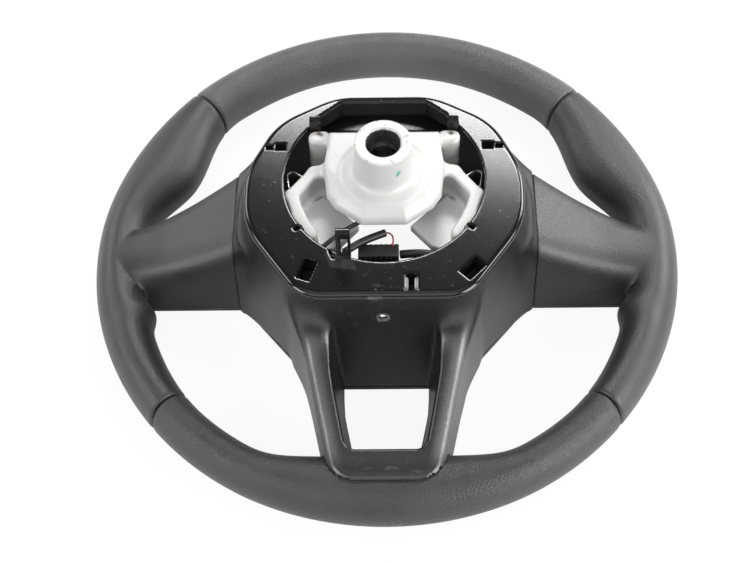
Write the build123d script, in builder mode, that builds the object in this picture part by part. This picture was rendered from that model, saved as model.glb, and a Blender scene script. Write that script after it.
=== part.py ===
"""Car steering wheel without its airbag module, lying on its face with the column side up.

Millimetres. The origin is on the steering axis, in the plane of the rim's front face.
+Z points to the column and +Y to twelve o'clock. "Rear" is the column side, "front" the driver's.
"""

import os
from math import cos, radians, sin, tan

from build123d import *

os.makedirs("parts", exist_ok=True)

# Rim
RIM_CENTRE_R = 171.0
RIM_WIDTH = 30.0
RIM_DEPTH = 36.0
RIM_MID = RIM_DEPTH / 2
CORE_R = 6.0
SKIN = 1.6
GLUE_GAP = 0.1
SEAM_GAP = 0.4
SEAM_UPPER = 44.0
SEAM_LOWER = -41.0
# Angle above the horizontal and how far the thumb rest stands inwards there
THUMB_REST = ((5, 0.0), (9, 1.0), (13, 6.0), (17, 13.0), (22, 17.0), (27, 16.5), (32, 12.0),
              (37, 6.0), (41, 1.8))

# Spokes, from the joint with the rear cover to the rim
JOINT_X = 93.0
JOINT_GAP = 0.4
SPOKE_FRONT = 8.0
SPOKE_LOW = -33.0
SPOKE_RIDGE = -26.0
SPOKE_EDGE_R = 8.0
SPOKE_END_X = RIM_CENTRE_R - CORE_R
SPOKE_FOAM = 4.0
# Share of the way to the rim, rear height and upper edge there
SPOKE = ((0.0, 63.0, 37.0), (0.4, 48.0, 26.2), (0.68, 40.0, 18.6), (0.88, 36.6, 13.4), (1.0, 35.0, 10.0))

# Rear cover
COVER_TOP = 100.0
COVER_WALL = 2.5
COVER_OUTLINE = ((48, -83), (84, -33), (84, 6), (66, 44), (30, 64.5))
COVER_FOOT_OUTLINE = ((42, -91), (88, -36), (88, 8), (70, 47.5), (32, 69))
COVER_CORNER_R = (14, 40, 40, 36, 36)
COVER_EDGE_R = 1.8
APERTURE_R = 59.7
FIT_GAP = 0.3
LIP_HEIGHT = 10.0
LIP_WALL = 4.0
LIP_POINTS = ((26, 53), (44, 41))
SHELF_DROP = 11.0
SHELF_EDGE = 44.0
SHELF_ALIGN = (Align.CENTER, Align.MIN)
SKIRT_HOLE_R = 1.9
SKIRT_HOLE_X = -1.0
SKIRT_HOLE_Z = 79.0
CLIP_SLOT = (9.0, 5.0)
CLIP_SLOT_SMALL = (5.0, 3.6)
CLIP_SLOT_AT = (63.1, 24.2)
CLIP_SLOT_PITCH = 6.6
LOWER_SLOT = (8.3, 14.0)
LOWER_SLOT_LEFT = (-44.1, -64.8, -19.5)
LOWER_SLOT_RIGHT = (50.8, -64.7, -45.0)
FOOT_SLOT = (7.5, 10.5)
FOOT_SLOT_AT = (15.8, -73.6)
BRACKET = (8.3, 5.0, 22.0)
BRACKET_AT = (-23.1, -54.0)
BRACKET_SLOT = (3.6, 17.0)
COVER_SCREW_R = 1.6
COVER_SCREW_HEAD_R = 3.2
COVER_SCREW_LENGTH = 13.0
STUB_START_X = 72.0
COVER_BOSS_R = 5.0
COVER_BOSS_IN = 7.3
COVER_BOSS_LENGTH = 37.0

# Lower spoke: two legs and a foot that sits on the rim
# Leg sections: Y, inner and outer X at the rear, rear height
LEG = ((-80, 32, 51, 88), (-85, 32, 50, 79), (-91, 32, 48.5, 70), (-100, 31.8, 46.5, 63.5),
       (-112, 31, 43.5, 57.5), (-158, 21.5, 33.5, 38.5))
LEG_FLARE_IN = 6.0
LEG_FLARE_OUT = 1.5
LEG_EDGE_R = 3.0
FOOT_END_Y = -167.0
WINDOW_END_Y = -146.5
FOOT_EDGE_R = 7.0

# Front frame
BEZEL_FRONT = 4.4
BEZEL_REAR = SPOKE_FRONT - FIT_GAP
BEZEL_RING = 12.0
BEZEL_SPOKE_X = 154.0

# Hub and casting
HUB_TOP = 134.0
BOSS_OUTER_R = 16.8
BOSS_FOOT_R = 8.0
BORE_R = 10.15
BORE_LIP = 1.5
BORE_DEPTH = 14.0
INSERT_R = 12.5
SPLINE_COUNT = 36
SPLINE_ROOT_R = 8.9
SPLINE_TIP_R = 8.2
SPLINE_WIDTH = 0.7
PLATE_TOP = 106.0
PLATE_THICK = 10.0
PLATE_POINTS = ((33, 31), (36, 6), (33, -6), (26, -19), (13.5, -36))
PLATE_BEVEL = 5.0
CAST_EDGE_R = 1.5
POST_SIZE = (13.0, 10.0)
POST_CORNER_R = 2.5
POST_AT = (39.5, 31.5)
POST_TOP = 100.0
POST_LENGTH = 24.0
RIB_WIDTH = 6.5
RIB_BEND_R = 7.0
RIB_TOP = 97.0
RIB_BOTTOM = 68.0
RIB_POINTS = ((32, 10), (44, 5), (55.5, -7.5), (51, -23), (44, -34))
WEB_TOP = 78.0
WEB_THICK = 6.0
WEB_POINTS = ((52, -8), (36, 4), (14, -22), (36, -38), (47, -34))
# Side arm: X, middle height, width across Y, depth, middle Y
SIDE_ARM = ((45, 75, 26, 6, -20), (75, 58, 28, 8, -6), (100, 42, 28, 9, 0), (150, 22, 20, 8, -3),
            (169, 18, 16, 8, -3))
# Lower arm: Y, middle height, width across X, depth, middle X
LOWER_ARM = ((-30, 75, 14, 6, 38), (-84, 44, 8, 8, 39.5), (-125, 28, 7, 8, 33), (-168, 18, 7, 8, 26))

# Switch packs in the spokes
PACK_AT = (118.0, -3.5)
PACK_ROOM = 3.6
PACK_DEPTH = 10.5
PACK_WALL = 1.5
PACK_CORNER_R = 2.0
BOARD_THICK = 1.6
BOARD_POST = 3.0
KEY_NAMES = ("lower", "middle", "upper")
KEY_SIZE = (26.0, 8.0)
KEY_PITCH = 10.4
KEY_CLEAR = 0.4
KEY_CORNER_R = 2.5
KEY_FLANGE = 0.9
KEY_FLANGE_THICK = 1.4
KEY_PROUD = 1.4
KEY_EDGE_R = 0.8
KEY_STEM_R = 2.0
KEY_STEM = 3.3
KEY_TRAVEL = 1.0
EAR_R = 3.0
EAR_THICK = 2.0
SCREW_R = 1.1
SCREW_HEAD_R = 2.4
SCREW_HEAD = 1.8
SCREW_CLEAR = 0.2

# Wires and leads
BEND_SHARE = 0.45
SPRING_WIRE_R = 1.1
SPRING_BEND_R = (3.0, 2.5)
SPRING_Z = 84.0
SPRING_POINTS = ((44.9, 8.8), (61, 20.5), (58.5, 5), (52.9, 0.65))
CONNECTOR_SIZE = (24.0, 8.5, 9.0)
CONNECTOR_AT = (-3.5, -42.5, 81.0)
CONNECTOR_RIB = (1.2, 1.0)
CONNECTOR_RIBS = 8
SHEATH_R = 2.3
SHEATH_BORE_R = 1.5
SHEATH_POINTS = ((-51, -48, 73), (-38, -54, 84), (-25, -47, 89), (-12, -37, 88.5), (0.5, -31, 87))
RED_WIRE_R = 0.5
RED_WIRE_POINTS = ((-4, -33.1, 87.5), (1.6, -30.5, 86.85), (4.6, -31.9, 86.4), (5.4, -35.8, 86.1),
                   (4.6, -40, 86.1))
HARNESS_R = 2.6
HARNESS_POINTS = ((9.4, -42.5, 81), (22, -43, 84), (38, -46, 82), (54, -44, 68), (70, -34, 46),
                  (84, -20, 30), (98, -10, 24), (110, -4, 21.5))
LEAD_R = 1.4
LEAD_POINTS = ((-110, -4, 20.3), (-98, -10, 23), (-84, -20, 30), (-70, -34, 46), (-54, -44, 68),
               (-44, -44, 80), (-34, -37, 85.5), (-24, -29, 87), (-13, -24, 90), (-2, -20, 94.2))


def lerp(start, end, share):
    """Value between two ends."""
    return start + (end - start) * share


def radial_plane(angle, radius):
    """Upright plane across the rim, x outwards and y to the rear."""
    outward = Vector(cos(radians(angle)), sin(radians(angle)), 0)
    along = Vector(sin(radians(angle)), -cos(radians(angle)), 0)
    return Plane(origin=outward * radius + Vector(0, 0, RIM_MID), x_dir=outward, z_dir=along)


def rim_sector(start, end, inset):
    """Plain stretch of the rim, its section taken in by inset."""
    with BuildPart() as sector:
        with BuildSketch(radial_plane(start, RIM_CENTRE_R)):
            Ellipse(RIM_WIDTH / 2 - inset, RIM_DEPTH / 2 - inset)
        revolve(axis=Axis.Z, revolution_arc=end - start)
    return sector.part


def rim_side(inset, gap):
    """Right side of the rim with its thumb rest, between the two seams."""
    trim = gap / 2 / radians(RIM_CENTRE_R)
    stations = THUMB_REST + ((SEAM_UPPER - trim, 0.0),)
    with BuildPart() as side:
        add(rim_sector(SEAM_LOWER + trim, THUMB_REST[0][0], inset))
        for angle, swell in stations:
            with BuildSketch(radial_plane(angle, RIM_CENTRE_R - swell / 2)):
                Ellipse((RIM_WIDTH + swell) / 2 - inset, RIM_DEPTH / 2 - inset)
        loft()
    return side.part


def spoke_block(inset, stations):
    """Right spoke through sections across X, its rear, lower and upper faces taken in by inset."""
    with BuildPart() as block:
        for share, rear, high in stations:
            with BuildSketch(Plane.YZ.offset(lerp(JOINT_X, SPOKE_END_X, share))) as section:
                with BuildLine():
                    Polyline(
                        (SPOKE_LOW + inset, SPOKE_FRONT),
                        (SPOKE_RIDGE + inset, rear - inset),
                        (high - inset, rear - inset),
                        (high - inset, SPOKE_FRONT),
                        close=True,
                    )
                make_face()
                fillet(section.vertices().group_by(Axis.Y)[-1], SPOKE_EDGE_R - inset)
        loft(ruled=True)
    return block.part


def spoke_stub(inset, end_x):
    """Inner end of the right spoke in the rear cover, on the slope of the spoke's first stretch."""
    start, following = SPOKE[:2]
    reach = [(x - JOINT_X) / (SPOKE_END_X - JOINT_X) for x in (STUB_START_X, end_x)]
    sections = [[lerp(a, b, share / following[0]) for a, b in zip(start, following)] for share in reach]
    return spoke_block(inset, sections)


def cover_line(points):
    """Both halves of an outline given by its right-hand points."""
    return list(points) + [(-x, y) for x, y in reversed(points)]


def cover_face(points, grow):
    """Rounded face inside an outline of the rear cover, grown by a distance."""
    radii = list(COVER_CORNER_R)
    with BuildSketch() as face:
        with BuildLine():
            FilletPolyline(*cover_line(points), radius=radii + radii[::-1], close=True)
        make_face()
        if grow:
            offset(amount=grow, mode=Mode.REPLACE)
    return face.sketch


def drum(inset, top):
    """Body of the rear cover between its two outlines, both taken in by inset."""
    with BuildPart() as body:
        for height, points in ((SPOKE_FRONT, COVER_FOOT_OUTLINE), (top, COVER_OUTLINE)):
            with BuildSketch(Plane.XY.offset(height)):
                add(cover_face(points, -inset))
        loft(ruled=True)
    return body.part


def leg(inset):
    """Right leg of the lower spoke, from the skirt down to the rim."""
    with BuildPart() as body:
        for y, inner, outer, rear in LEG:
            with BuildSketch(Plane.XZ.offset(-y)) as section:
                with BuildLine():
                    Polyline(
                        (inner - LEG_FLARE_IN + inset, SPOKE_FRONT),
                        (inner + inset, rear - inset),
                        (outer - inset, rear - inset),
                        (outer + LEG_FLARE_OUT - inset, SPOKE_FRONT),
                        close=True,
                    )
                make_face()
                if not inset:
                    fillet(section.vertices().group_by(Axis.Y)[-1], LEG_EDGE_R)
        loft(ruled=True)
    return body.part


def foot():
    """Bar below the window, its rear face in line with the legs."""
    (y_in, _, _, rear_in), (y_end, _, half_width, rear_end) = LEG[-2:]
    slope = (rear_in - rear_end) / (y_in - y_end)
    with BuildPart() as bar:
        with BuildSketch(Plane.YZ):
            with BuildLine():
                Polyline(
                    (FOOT_END_Y, SPOKE_FRONT),
                    (FOOT_END_Y, rear_end + slope * (FOOT_END_Y - y_end)),
                    (WINDOW_END_Y, rear_end + slope * (WINDOW_END_Y - y_end)),
                    (WINDOW_END_Y, SPOKE_FRONT),
                    close=True,
                )
            make_face()
        extrude(amount=half_width, both=True)
        fillet(bar.edges().filter_by(Axis.Z).group_by(Axis.Y)[0], FOOT_EDGE_R)
        fillet(bar.faces().sort_by(Axis.Y)[0].edges().sort_by(Axis.Z)[-1], LEG_EDGE_R)
    return bar.part


def arm(stations, plane_of):
    """Casting arm through rectangles on parallel planes: place, height, width, depth, middle."""
    with BuildPart() as bar:
        for place, height, width, depth, middle in stations:
            with BuildSketch(plane_of(place)):
                with Locations((middle, height)):
                    Rectangle(width, depth)
        loft(ruled=True)
    return bar.part


def side_arm(grow):
    """Right side arm, grown all round by a clearance."""
    stations = [(x, z, w + 2 * grow, d + 2 * grow, y) for x, z, w, d, y in SIDE_ARM]
    return arm(stations, Plane.YZ.offset)


def lower_arm(grow):
    """Right lower arm, grown all round by a clearance."""
    stations = [(-y, z, w + 2 * grow, d + 2 * grow, x) for y, z, w, d, x in LOWER_ARM]
    return arm(stations, Plane.XZ.offset)


def both_sides(piece, mode):
    """Put a right-hand piece and its mirror image into the open part."""
    add(piece, mode=mode)
    mirror(piece, about=Plane.YZ, mode=mode)


def bend_radii(name, points):
    """Arc at each corner of a route: a share of the shorter run over the tangent of half the turn."""
    radii = []
    for before, corner, after in zip(points, points[1:], points[2:]):
        run_in = Vector(*corner) - Vector(*before)
        run_out = Vector(*after) - Vector(*corner)
        half_turn = radians(run_in.get_angle(run_out)) / 2
        radii.append(BEND_SHARE * min(run_in.length, run_out.length) / tan(half_turn))
    print(name, "bend radii", [round(radius, 1) for radius in radii])
    return radii


def tube(points, radii, radius, bore=0.0):
    """Round wire or sheath along straight runs joined by arcs."""
    with BuildPart() as wire:
        with BuildLine() as path:
            FilletPolyline(*points, radius=radii)
        with BuildSketch(Plane(origin=path.line @ 0, z_dir=path.line % 0)):
            Circle(radius)
            if bore:
                Circle(bore, mode=Mode.SUBTRACT)
        sweep()
    return wire.part


def save(builder, name):
    """Label a finished piece and write it."""
    builder.part.label = name
    export_step(builder.part, f"parts/{name}.step")


# Leather panels
SEAM_TRIM = SEAM_GAP / 2 / radians(RIM_CENTRE_R)

with BuildPart() as leather_top:
    add(rim_sector(SEAM_UPPER + SEAM_TRIM, 180 - SEAM_UPPER - SEAM_TRIM, 0))
    add(rim_sector(SEAM_UPPER, 180 - SEAM_UPPER, SKIN), mode=Mode.SUBTRACT)
save(leather_top, "leather_top")

with BuildPart() as leather_bottom:
    add(rim_sector(180 - SEAM_LOWER + SEAM_TRIM, 360 + SEAM_LOWER - SEAM_TRIM, 0))
    add(rim_sector(180 - SEAM_LOWER, 360 + SEAM_LOWER, SKIN), mode=Mode.SUBTRACT)
    both_sides(lower_arm(FIT_GAP), Mode.SUBTRACT)
save(leather_bottom, "leather_bottom")

with BuildPart() as leather_right:
    add(rim_side(0, SEAM_GAP))
    add(spoke_block(0, SPOKE))
    add(rim_side(SKIN, 0), mode=Mode.SUBTRACT)
    add(spoke_block(SKIN, SPOKE), mode=Mode.SUBTRACT)
save(leather_right, "leather_right")

with BuildPart() as leather_left:
    mirror(leather_right.part, about=Plane.YZ)
save(leather_left, "leather_left")

# Foam on the rim core and under the spoke leather
FOAM_INSET = SKIN + GLUE_GAP

with BuildPart() as rim_foam:
    add(rim_sector(SEAM_UPPER, 180 - SEAM_UPPER, FOAM_INSET))
    add(rim_sector(180 - SEAM_LOWER, 360 + SEAM_LOWER, FOAM_INSET))
    both_sides(rim_side(FOAM_INSET, 0), Mode.ADD)
    both_sides(spoke_block(FOAM_INSET, SPOKE), Mode.ADD)
    both_sides(spoke_block(FOAM_INSET + SPOKE_FOAM, SPOKE), Mode.SUBTRACT)
    both_sides(lower_arm(FIT_GAP), Mode.SUBTRACT)
    both_sides(side_arm(FIT_GAP), Mode.SUBTRACT)
    with Locations((0, 0, RIM_MID)):
        Torus(RIM_CENTRE_R, CORE_R + GLUE_GAP, mode=Mode.SUBTRACT)
save(rim_foam, "rim_foam")

# Ring in the rim, which the arms of the casting are cast on
with BuildPart() as rim_core:
    with Locations((0, 0, RIM_MID)):
        Torus(RIM_CENTRE_R, CORE_R)
save(rim_core, "rim_core")

# Casting: boss, plate, posts, ribs, webs and arms in one piece
with BuildPart() as armature:
    with BuildSketch(Plane.XY.offset(PLATE_TOP - PLATE_THICK)):
        with BuildLine():
            Polyline(*cover_line(PLATE_POINTS), close=True)
        make_face()
    extrude(amount=PLATE_THICK)
    front_edge = armature.edges().group_by(Axis.Z)[-1].sort_by(Axis.Y)[0]
    chamfer(front_edge, length=PLATE_BEVEL, length2=2 * PLATE_BEVEL)
    fillet(armature.edges().group_by(Axis.Z)[-1], CAST_EDGE_R)
    with BuildSketch(Plane.XY.offset(PLATE_TOP - PLATE_THICK)):
        Circle(BOSS_OUTER_R)
    extrude(amount=HUB_TOP - PLATE_TOP + PLATE_THICK)
    boss_edges = armature.edges().filter_by(GeomType.CIRCLE).filter_by_position(Axis.Z, PLATE_TOP, HUB_TOP)
    fillet(boss_edges.group_by(Axis.Z)[0], BOSS_FOOT_R)
    with BuildSketch(Plane.XY.offset(POST_TOP - POST_LENGTH)):
        with Locations(POST_AT, (-POST_AT[0], POST_AT[1])):
            RectangleRounded(*POST_SIZE, POST_CORNER_R)
    extrude(amount=POST_LENGTH)
    for side in (1, -1):
        with BuildSketch(Plane.XY.offset(RIB_BOTTOM)):
            with BuildLine() as rib_line:
                FilletPolyline(*[(side * x, y) for x, y in RIB_POINTS], radius=RIB_BEND_R)
            trace(rib_line.line, RIB_WIDTH)
        extrude(amount=RIB_TOP - RIB_BOTTOM)
        with BuildSketch(Plane.XY.offset(WEB_TOP - WEB_THICK)):
            with BuildLine():
                Polyline(*[(side * x, y) for x, y in WEB_POINTS], close=True)
            make_face()
        extrude(amount=WEB_THICK)
    both_sides(side_arm(0), Mode.ADD)
    both_sides(lower_arm(0), Mode.ADD)
    add(rim_core.part, mode=Mode.SUBTRACT)
    with BuildSketch(Plane.XY.offset(HUB_TOP)):
        Circle(BORE_R)
    extrude(amount=-BORE_LIP, mode=Mode.SUBTRACT)
    with BuildSketch(Plane.XY.offset(HUB_TOP - BORE_LIP)):
        Circle(INSERT_R)
    extrude(amount=PLATE_TOP - PLATE_THICK - HUB_TOP, mode=Mode.SUBTRACT)
save(armature, "armature")

with BuildPart() as hub_insert:
    with BuildSketch(Plane.XY.offset(PLATE_TOP - PLATE_THICK)):
        Circle(INSERT_R - GLUE_GAP)
        Circle(SPLINE_ROOT_R, mode=Mode.SUBTRACT)
        with PolarLocations((SPLINE_ROOT_R + SPLINE_TIP_R) / 2, SPLINE_COUNT):
            Rectangle(SPLINE_ROOT_R - SPLINE_TIP_R + GLUE_GAP, SPLINE_WIDTH)
    extrude(amount=HUB_TOP - BORE_LIP - GLUE_GAP - PLATE_TOP + PLATE_THICK)
    with BuildSketch(Plane.XY.offset(HUB_TOP)):
        Circle(BORE_R)
    extrude(amount=-BORE_DEPTH, mode=Mode.SUBTRACT)
save(hub_insert, "hub_insert")

# Rear cover: drum with ring, spoke stubs, lip, shelf, bracket, legs and foot
COVER_BOSSES = []
for (x0, y0), (x1, y1) in (COVER_FOOT_OUTLINE[:2], COVER_FOOT_OUTLINE[-2:]):
    middle = Vector((x0 + x1) / 2, (y0 + y1) / 2)
    middle -= middle.normalized() * COVER_BOSS_IN
    COVER_BOSSES += [(middle.X, middle.Y), (-middle.X, middle.Y)]

with BuildPart() as rear_cover:
    add(drum(0, COVER_TOP))
    fillet(rear_cover.edges().group_by(Axis.Z)[-1], COVER_EDGE_R)
    both_sides(spoke_stub(0, JOINT_X - JOINT_GAP), Mode.ADD)
    both_sides(leg(0), Mode.ADD)
    add(foot())
    add(drum(COVER_WALL, COVER_TOP - COVER_WALL), mode=Mode.SUBTRACT)
    both_sides(leg(COVER_WALL), Mode.SUBTRACT)
    both_sides(spoke_stub(COVER_WALL, JOINT_X), Mode.SUBTRACT)
    add(rim_sector(0, 360, -FIT_GAP), mode=Mode.SUBTRACT)
    with BuildSketch(Plane.XY.offset(COVER_TOP)):
        Circle(APERTURE_R)
        for side in (1, -1):
            with Locations((side * CLIP_SLOT_AT[0], CLIP_SLOT_AT[1])):
                Rectangle(*CLIP_SLOT)
            with Locations((side * (CLIP_SLOT_AT[0] + CLIP_SLOT_PITCH), CLIP_SLOT_AT[1])):
                Rectangle(*CLIP_SLOT_SMALL)
        for x, y, turn in (LOWER_SLOT_LEFT, LOWER_SLOT_RIGHT):
            with Locations((x, y)):
                Rectangle(*LOWER_SLOT, rotation=turn)
        with Locations(FOOT_SLOT_AT):
            Rectangle(*FOOT_SLOT)
    extrude(amount=-COVER_WALL - COVER_EDGE_R, mode=Mode.SUBTRACT)
    with BuildSketch(Plane.XY.offset(COVER_TOP - COVER_WALL)):
        with BuildLine():
            inner = cover_line(LIP_POINTS[::-1])
            outer = [(x * (1 + LIP_WALL / LIP_POINTS[0][1]), y + LIP_WALL) for x, y in inner]
            Polyline(*inner, *reversed(outer), close=True)
        make_face()
    extrude(amount=COVER_WALL + LIP_HEIGHT)
    with BuildSketch(Plane.XY.offset(COVER_TOP - SHELF_DROP)):
        add(cover_face(COVER_OUTLINE, 0))
        with Locations((0, SHELF_EDGE)):
            Rectangle(2 * LIP_POINTS[1][0], COVER_TOP, align=SHELF_ALIGN, mode=Mode.INTERSECT)
    extrude(amount=-COVER_WALL)
    with BuildSketch(Plane.XY.offset(COVER_TOP - COVER_WALL)):
        with Locations(BRACKET_AT):
            Rectangle(BRACKET[0], BRACKET[1])
    extrude(amount=BRACKET[2] + COVER_WALL)
    with BuildSketch(Plane.XZ.offset(-BRACKET_AT[1] - BRACKET[1])):
        with Locations((BRACKET_AT[0], COVER_TOP + BRACKET_SLOT[1] / 2)):
            Rectangle(*BRACKET_SLOT)
    extrude(amount=2 * BRACKET[1], both=True, mode=Mode.SUBTRACT)
    with BuildSketch(Plane.XZ.offset(-COVER_OUTLINE[0][1])):
        with Locations((SKIRT_HOLE_X, SKIRT_HOLE_Z)):
            Circle(SKIRT_HOLE_R)
    extrude(amount=COVER_BOSS_R, both=True, mode=Mode.SUBTRACT)
    with BuildSketch(Plane.XY.offset(SPOKE_FRONT)):
        with Locations(*COVER_BOSSES):
            Circle(COVER_BOSS_R)
    extrude(amount=COVER_BOSS_LENGTH)
    with BuildSketch(Plane.XY.offset(SPOKE_FRONT)):
        with Locations(*COVER_BOSSES):
            Circle(COVER_SCREW_R + SCREW_CLEAR)
    extrude(amount=COVER_SCREW_LENGTH, mode=Mode.SUBTRACT)
save(rear_cover, "rear_cover")

# Switch pack places
PACK_INNER = (
    KEY_SIZE[0] + 2 * (KEY_FLANGE + PACK_ROOM),
    KEY_SIZE[1] + 2 * (KEY_PITCH + KEY_FLANGE + KEY_CLEAR),
)
KEY_HOLE = [size + 2 * KEY_CLEAR for size in KEY_SIZE]
PACK_REAR = SPOKE_FRONT + PACK_DEPTH
KEY_SEAT = SPOKE_FRONT + FIT_GAP
KEY_TOP = KEY_SEAT + KEY_FLANGE_THICK + KEY_STEM
BOARD_FRONT = KEY_TOP + KEY_TRAVEL + FIT_GAP
EAR_REACH = PACK_INNER[1] / 2 + PACK_WALL + EAR_R
EARS = [(PACK_AT[0], PACK_AT[1] + EAR_REACH), (PACK_AT[0], PACK_AT[1] - EAR_REACH)]
ALL_EARS = EARS + [(-x, y) for x, y in EARS]
KEY_PLACES = [(PACK_AT[0], PACK_AT[1] + (place - 1) * KEY_PITCH) for place in range(len(KEY_NAMES))]
ALL_KEYS = KEY_PLACES + [(-x, y) for x, y in KEY_PLACES]

# Front frame round the airbag opening, over the spokes and down the legs
BEZEL_SPOKE = ((BEZEL_SPOKE_X, SPOKE_LOW), (BEZEL_SPOKE_X, SPOKE[-2][2]), (JOINT_X, SPOKE[0][2]))
LEG_OUTER = [(outer + LEG_FLARE_OUT, y) for y, _, outer, _ in LEG]
LEG_INNER = [(inner - LEG_FLARE_IN, y) for y, inner, _, _ in LEG[:-1]]
LEG_INNER.append((LEG_INNER[-1][0], WINDOW_END_Y))

with BuildPart() as front_bezel:
    with BuildSketch(Plane.XY.offset(BEZEL_FRONT)):
        with BuildLine():
            Polyline(*cover_line(BEZEL_SPOKE), close=True)
        make_face()
        with BuildLine():
            Polyline(*cover_line(LEG_OUTER), close=True)
        make_face()
        with BuildLine():
            Polyline(*cover_line(LEG_INNER), close=True)
        make_face(mode=Mode.SUBTRACT)
        add(cover_face(COVER_FOOT_OUTLINE, 0))
    extrude(amount=BEZEL_REAR - BEZEL_FRONT)
    with BuildSketch(Plane.XY.offset(BEZEL_FRONT)):
        add(cover_face(COVER_OUTLINE, -BEZEL_RING))
        with Locations(*ALL_KEYS):
            RectangleRounded(*KEY_HOLE, KEY_CORNER_R + KEY_CLEAR)
        with Locations(*COVER_BOSSES):
            Circle(COVER_SCREW_R + SCREW_CLEAR)
    extrude(amount=BEZEL_REAR - BEZEL_FRONT, mode=Mode.SUBTRACT)
    with BuildSketch(Plane.XY.offset(BEZEL_FRONT)):
        with Locations(*COVER_BOSSES):
            Circle(COVER_SCREW_HEAD_R + SCREW_CLEAR)
    extrude(amount=SCREW_HEAD, mode=Mode.SUBTRACT)
    with BuildSketch(Plane.XY.offset(BEZEL_REAR)):
        with Locations(*ALL_EARS):
            Circle(SCREW_R + SCREW_CLEAR)
    extrude(amount=-SCREW_HEAD, mode=Mode.SUBTRACT)
    add(rim_sector(0, 360, -FIT_GAP), mode=Mode.SUBTRACT)
    both_sides(rim_side(-FIT_GAP, 0), Mode.SUBTRACT)
save(front_bezel, "front_bezel")

with BuildPart() as cover_screws:
    with BuildSketch(Plane.XY.offset(BEZEL_FRONT)):
        with Locations(*COVER_BOSSES):
            Circle(COVER_SCREW_HEAD_R)
    extrude(amount=SCREW_HEAD)
    with BuildSketch(Plane.XY.offset(BEZEL_FRONT)):
        with Locations(*COVER_BOSSES):
            Circle(COVER_SCREW_R)
    extrude(amount=COVER_SCREW_LENGTH)
save(cover_screws, "cover_screws")

with BuildPart() as switch_screws:
    with BuildSketch(Plane.XY.offset(SPOKE_FRONT + EAR_THICK)):
        with Locations(*ALL_EARS):
            Circle(SCREW_HEAD_R)
    extrude(amount=SCREW_HEAD)
    with BuildSketch(Plane.XY.offset(SPOKE_FRONT + EAR_THICK)):
        with Locations(*ALL_EARS):
            Circle(SCREW_R)
    extrude(amount=BEZEL_REAR - SCREW_HEAD + SCREW_CLEAR - SPOKE_FRONT - EAR_THICK)
save(switch_screws, "switch_screws")

# Switch packs: housing, board and keys of the right spoke, then their mirror images
with BuildPart() as switch_housing_right:
    with BuildSketch(Plane.XY.offset(SPOKE_FRONT)):
        with Locations(PACK_AT):
            SlotCenterToCenter(2 * EAR_REACH, 2 * EAR_R, rotation=90)
    extrude(amount=EAR_THICK)
    with BuildSketch(Plane.XY.offset(SPOKE_FRONT)):
        with Locations(PACK_AT):
            RectangleRounded(PACK_INNER[0] + 2 * PACK_WALL, PACK_INNER[1] + 2 * PACK_WALL, PACK_CORNER_R)
    extrude(amount=PACK_DEPTH)
    with BuildSketch(Plane.XY.offset(SPOKE_FRONT)):
        with Locations(PACK_AT):
            Rectangle(*PACK_INNER)
    extrude(amount=PACK_DEPTH - PACK_WALL, mode=Mode.SUBTRACT)
    with BuildSketch(Plane.XY.offset(PACK_REAR - PACK_WALL)):
        with Locations(PACK_AT):
            with GridLocations(PACK_INNER[0] - BOARD_POST, PACK_INNER[1] - BOARD_POST, 2, 2):
                Rectangle(BOARD_POST, BOARD_POST)
    extrude(amount=BOARD_FRONT + BOARD_THICK + GLUE_GAP - PACK_REAR + PACK_WALL)
    with BuildSketch(Plane.XY.offset(SPOKE_FRONT)):
        with Locations(*EARS):
            Circle(SCREW_R + SCREW_CLEAR)
    extrude(amount=EAR_THICK, mode=Mode.SUBTRACT)
save(switch_housing_right, "switch_housing_right")

with BuildPart() as switch_housing_left:
    mirror(switch_housing_right.part, about=Plane.YZ)
save(switch_housing_left, "switch_housing_left")

with BuildPart() as switch_board_right:
    with BuildSketch(Plane.XY.offset(BOARD_FRONT)):
        with Locations(PACK_AT):
            Rectangle(PACK_INNER[0] - 2 * FIT_GAP, PACK_INNER[1] - 2 * FIT_GAP)
    extrude(amount=BOARD_THICK)
save(switch_board_right, "switch_board_right")

with BuildPart() as switch_board_left:
    mirror(switch_board_right.part, about=Plane.YZ)
save(switch_board_left, "switch_board_left")

for side, side_name in ((1, "right"), (-1, "left")):
    for (x, y), key_name in zip(KEY_PLACES, KEY_NAMES):
        with BuildPart() as key:
            with BuildSketch(Plane.XY.offset(BEZEL_FRONT - KEY_PROUD)):
                with Locations((side * x, y)):
                    RectangleRounded(*KEY_SIZE, KEY_CORNER_R)
            extrude(amount=KEY_SEAT - BEZEL_FRONT + KEY_PROUD)
            fillet(key.edges().group_by(Axis.Z)[0], KEY_EDGE_R)
            with BuildSketch(Plane.XY.offset(KEY_SEAT)):
                with Locations((side * x, y)):
                    Rectangle(KEY_SIZE[0] + 2 * KEY_FLANGE, KEY_SIZE[1] + 2 * KEY_FLANGE)
            extrude(amount=KEY_FLANGE_THICK)
            with BuildSketch(Plane.XY.offset(KEY_SEAT)):
                with Locations((side * x, y)):
                    Circle(KEY_STEM_R)
            extrude(amount=KEY_TOP - KEY_SEAT)
        save(key, f"key_{side_name}_{key_name}")

# Airbag retaining springs
with BuildPart() as retaining_spring_right:
    add(tube([(x, y, SPRING_Z) for x, y in SPRING_POINTS], SPRING_BEND_R, SPRING_WIRE_R))
save(retaining_spring_right, "retaining_spring_right")

with BuildPart() as retaining_spring_left:
    mirror(retaining_spring_right.part, about=Plane.YZ)
save(retaining_spring_left, "retaining_spring_left")

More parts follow.
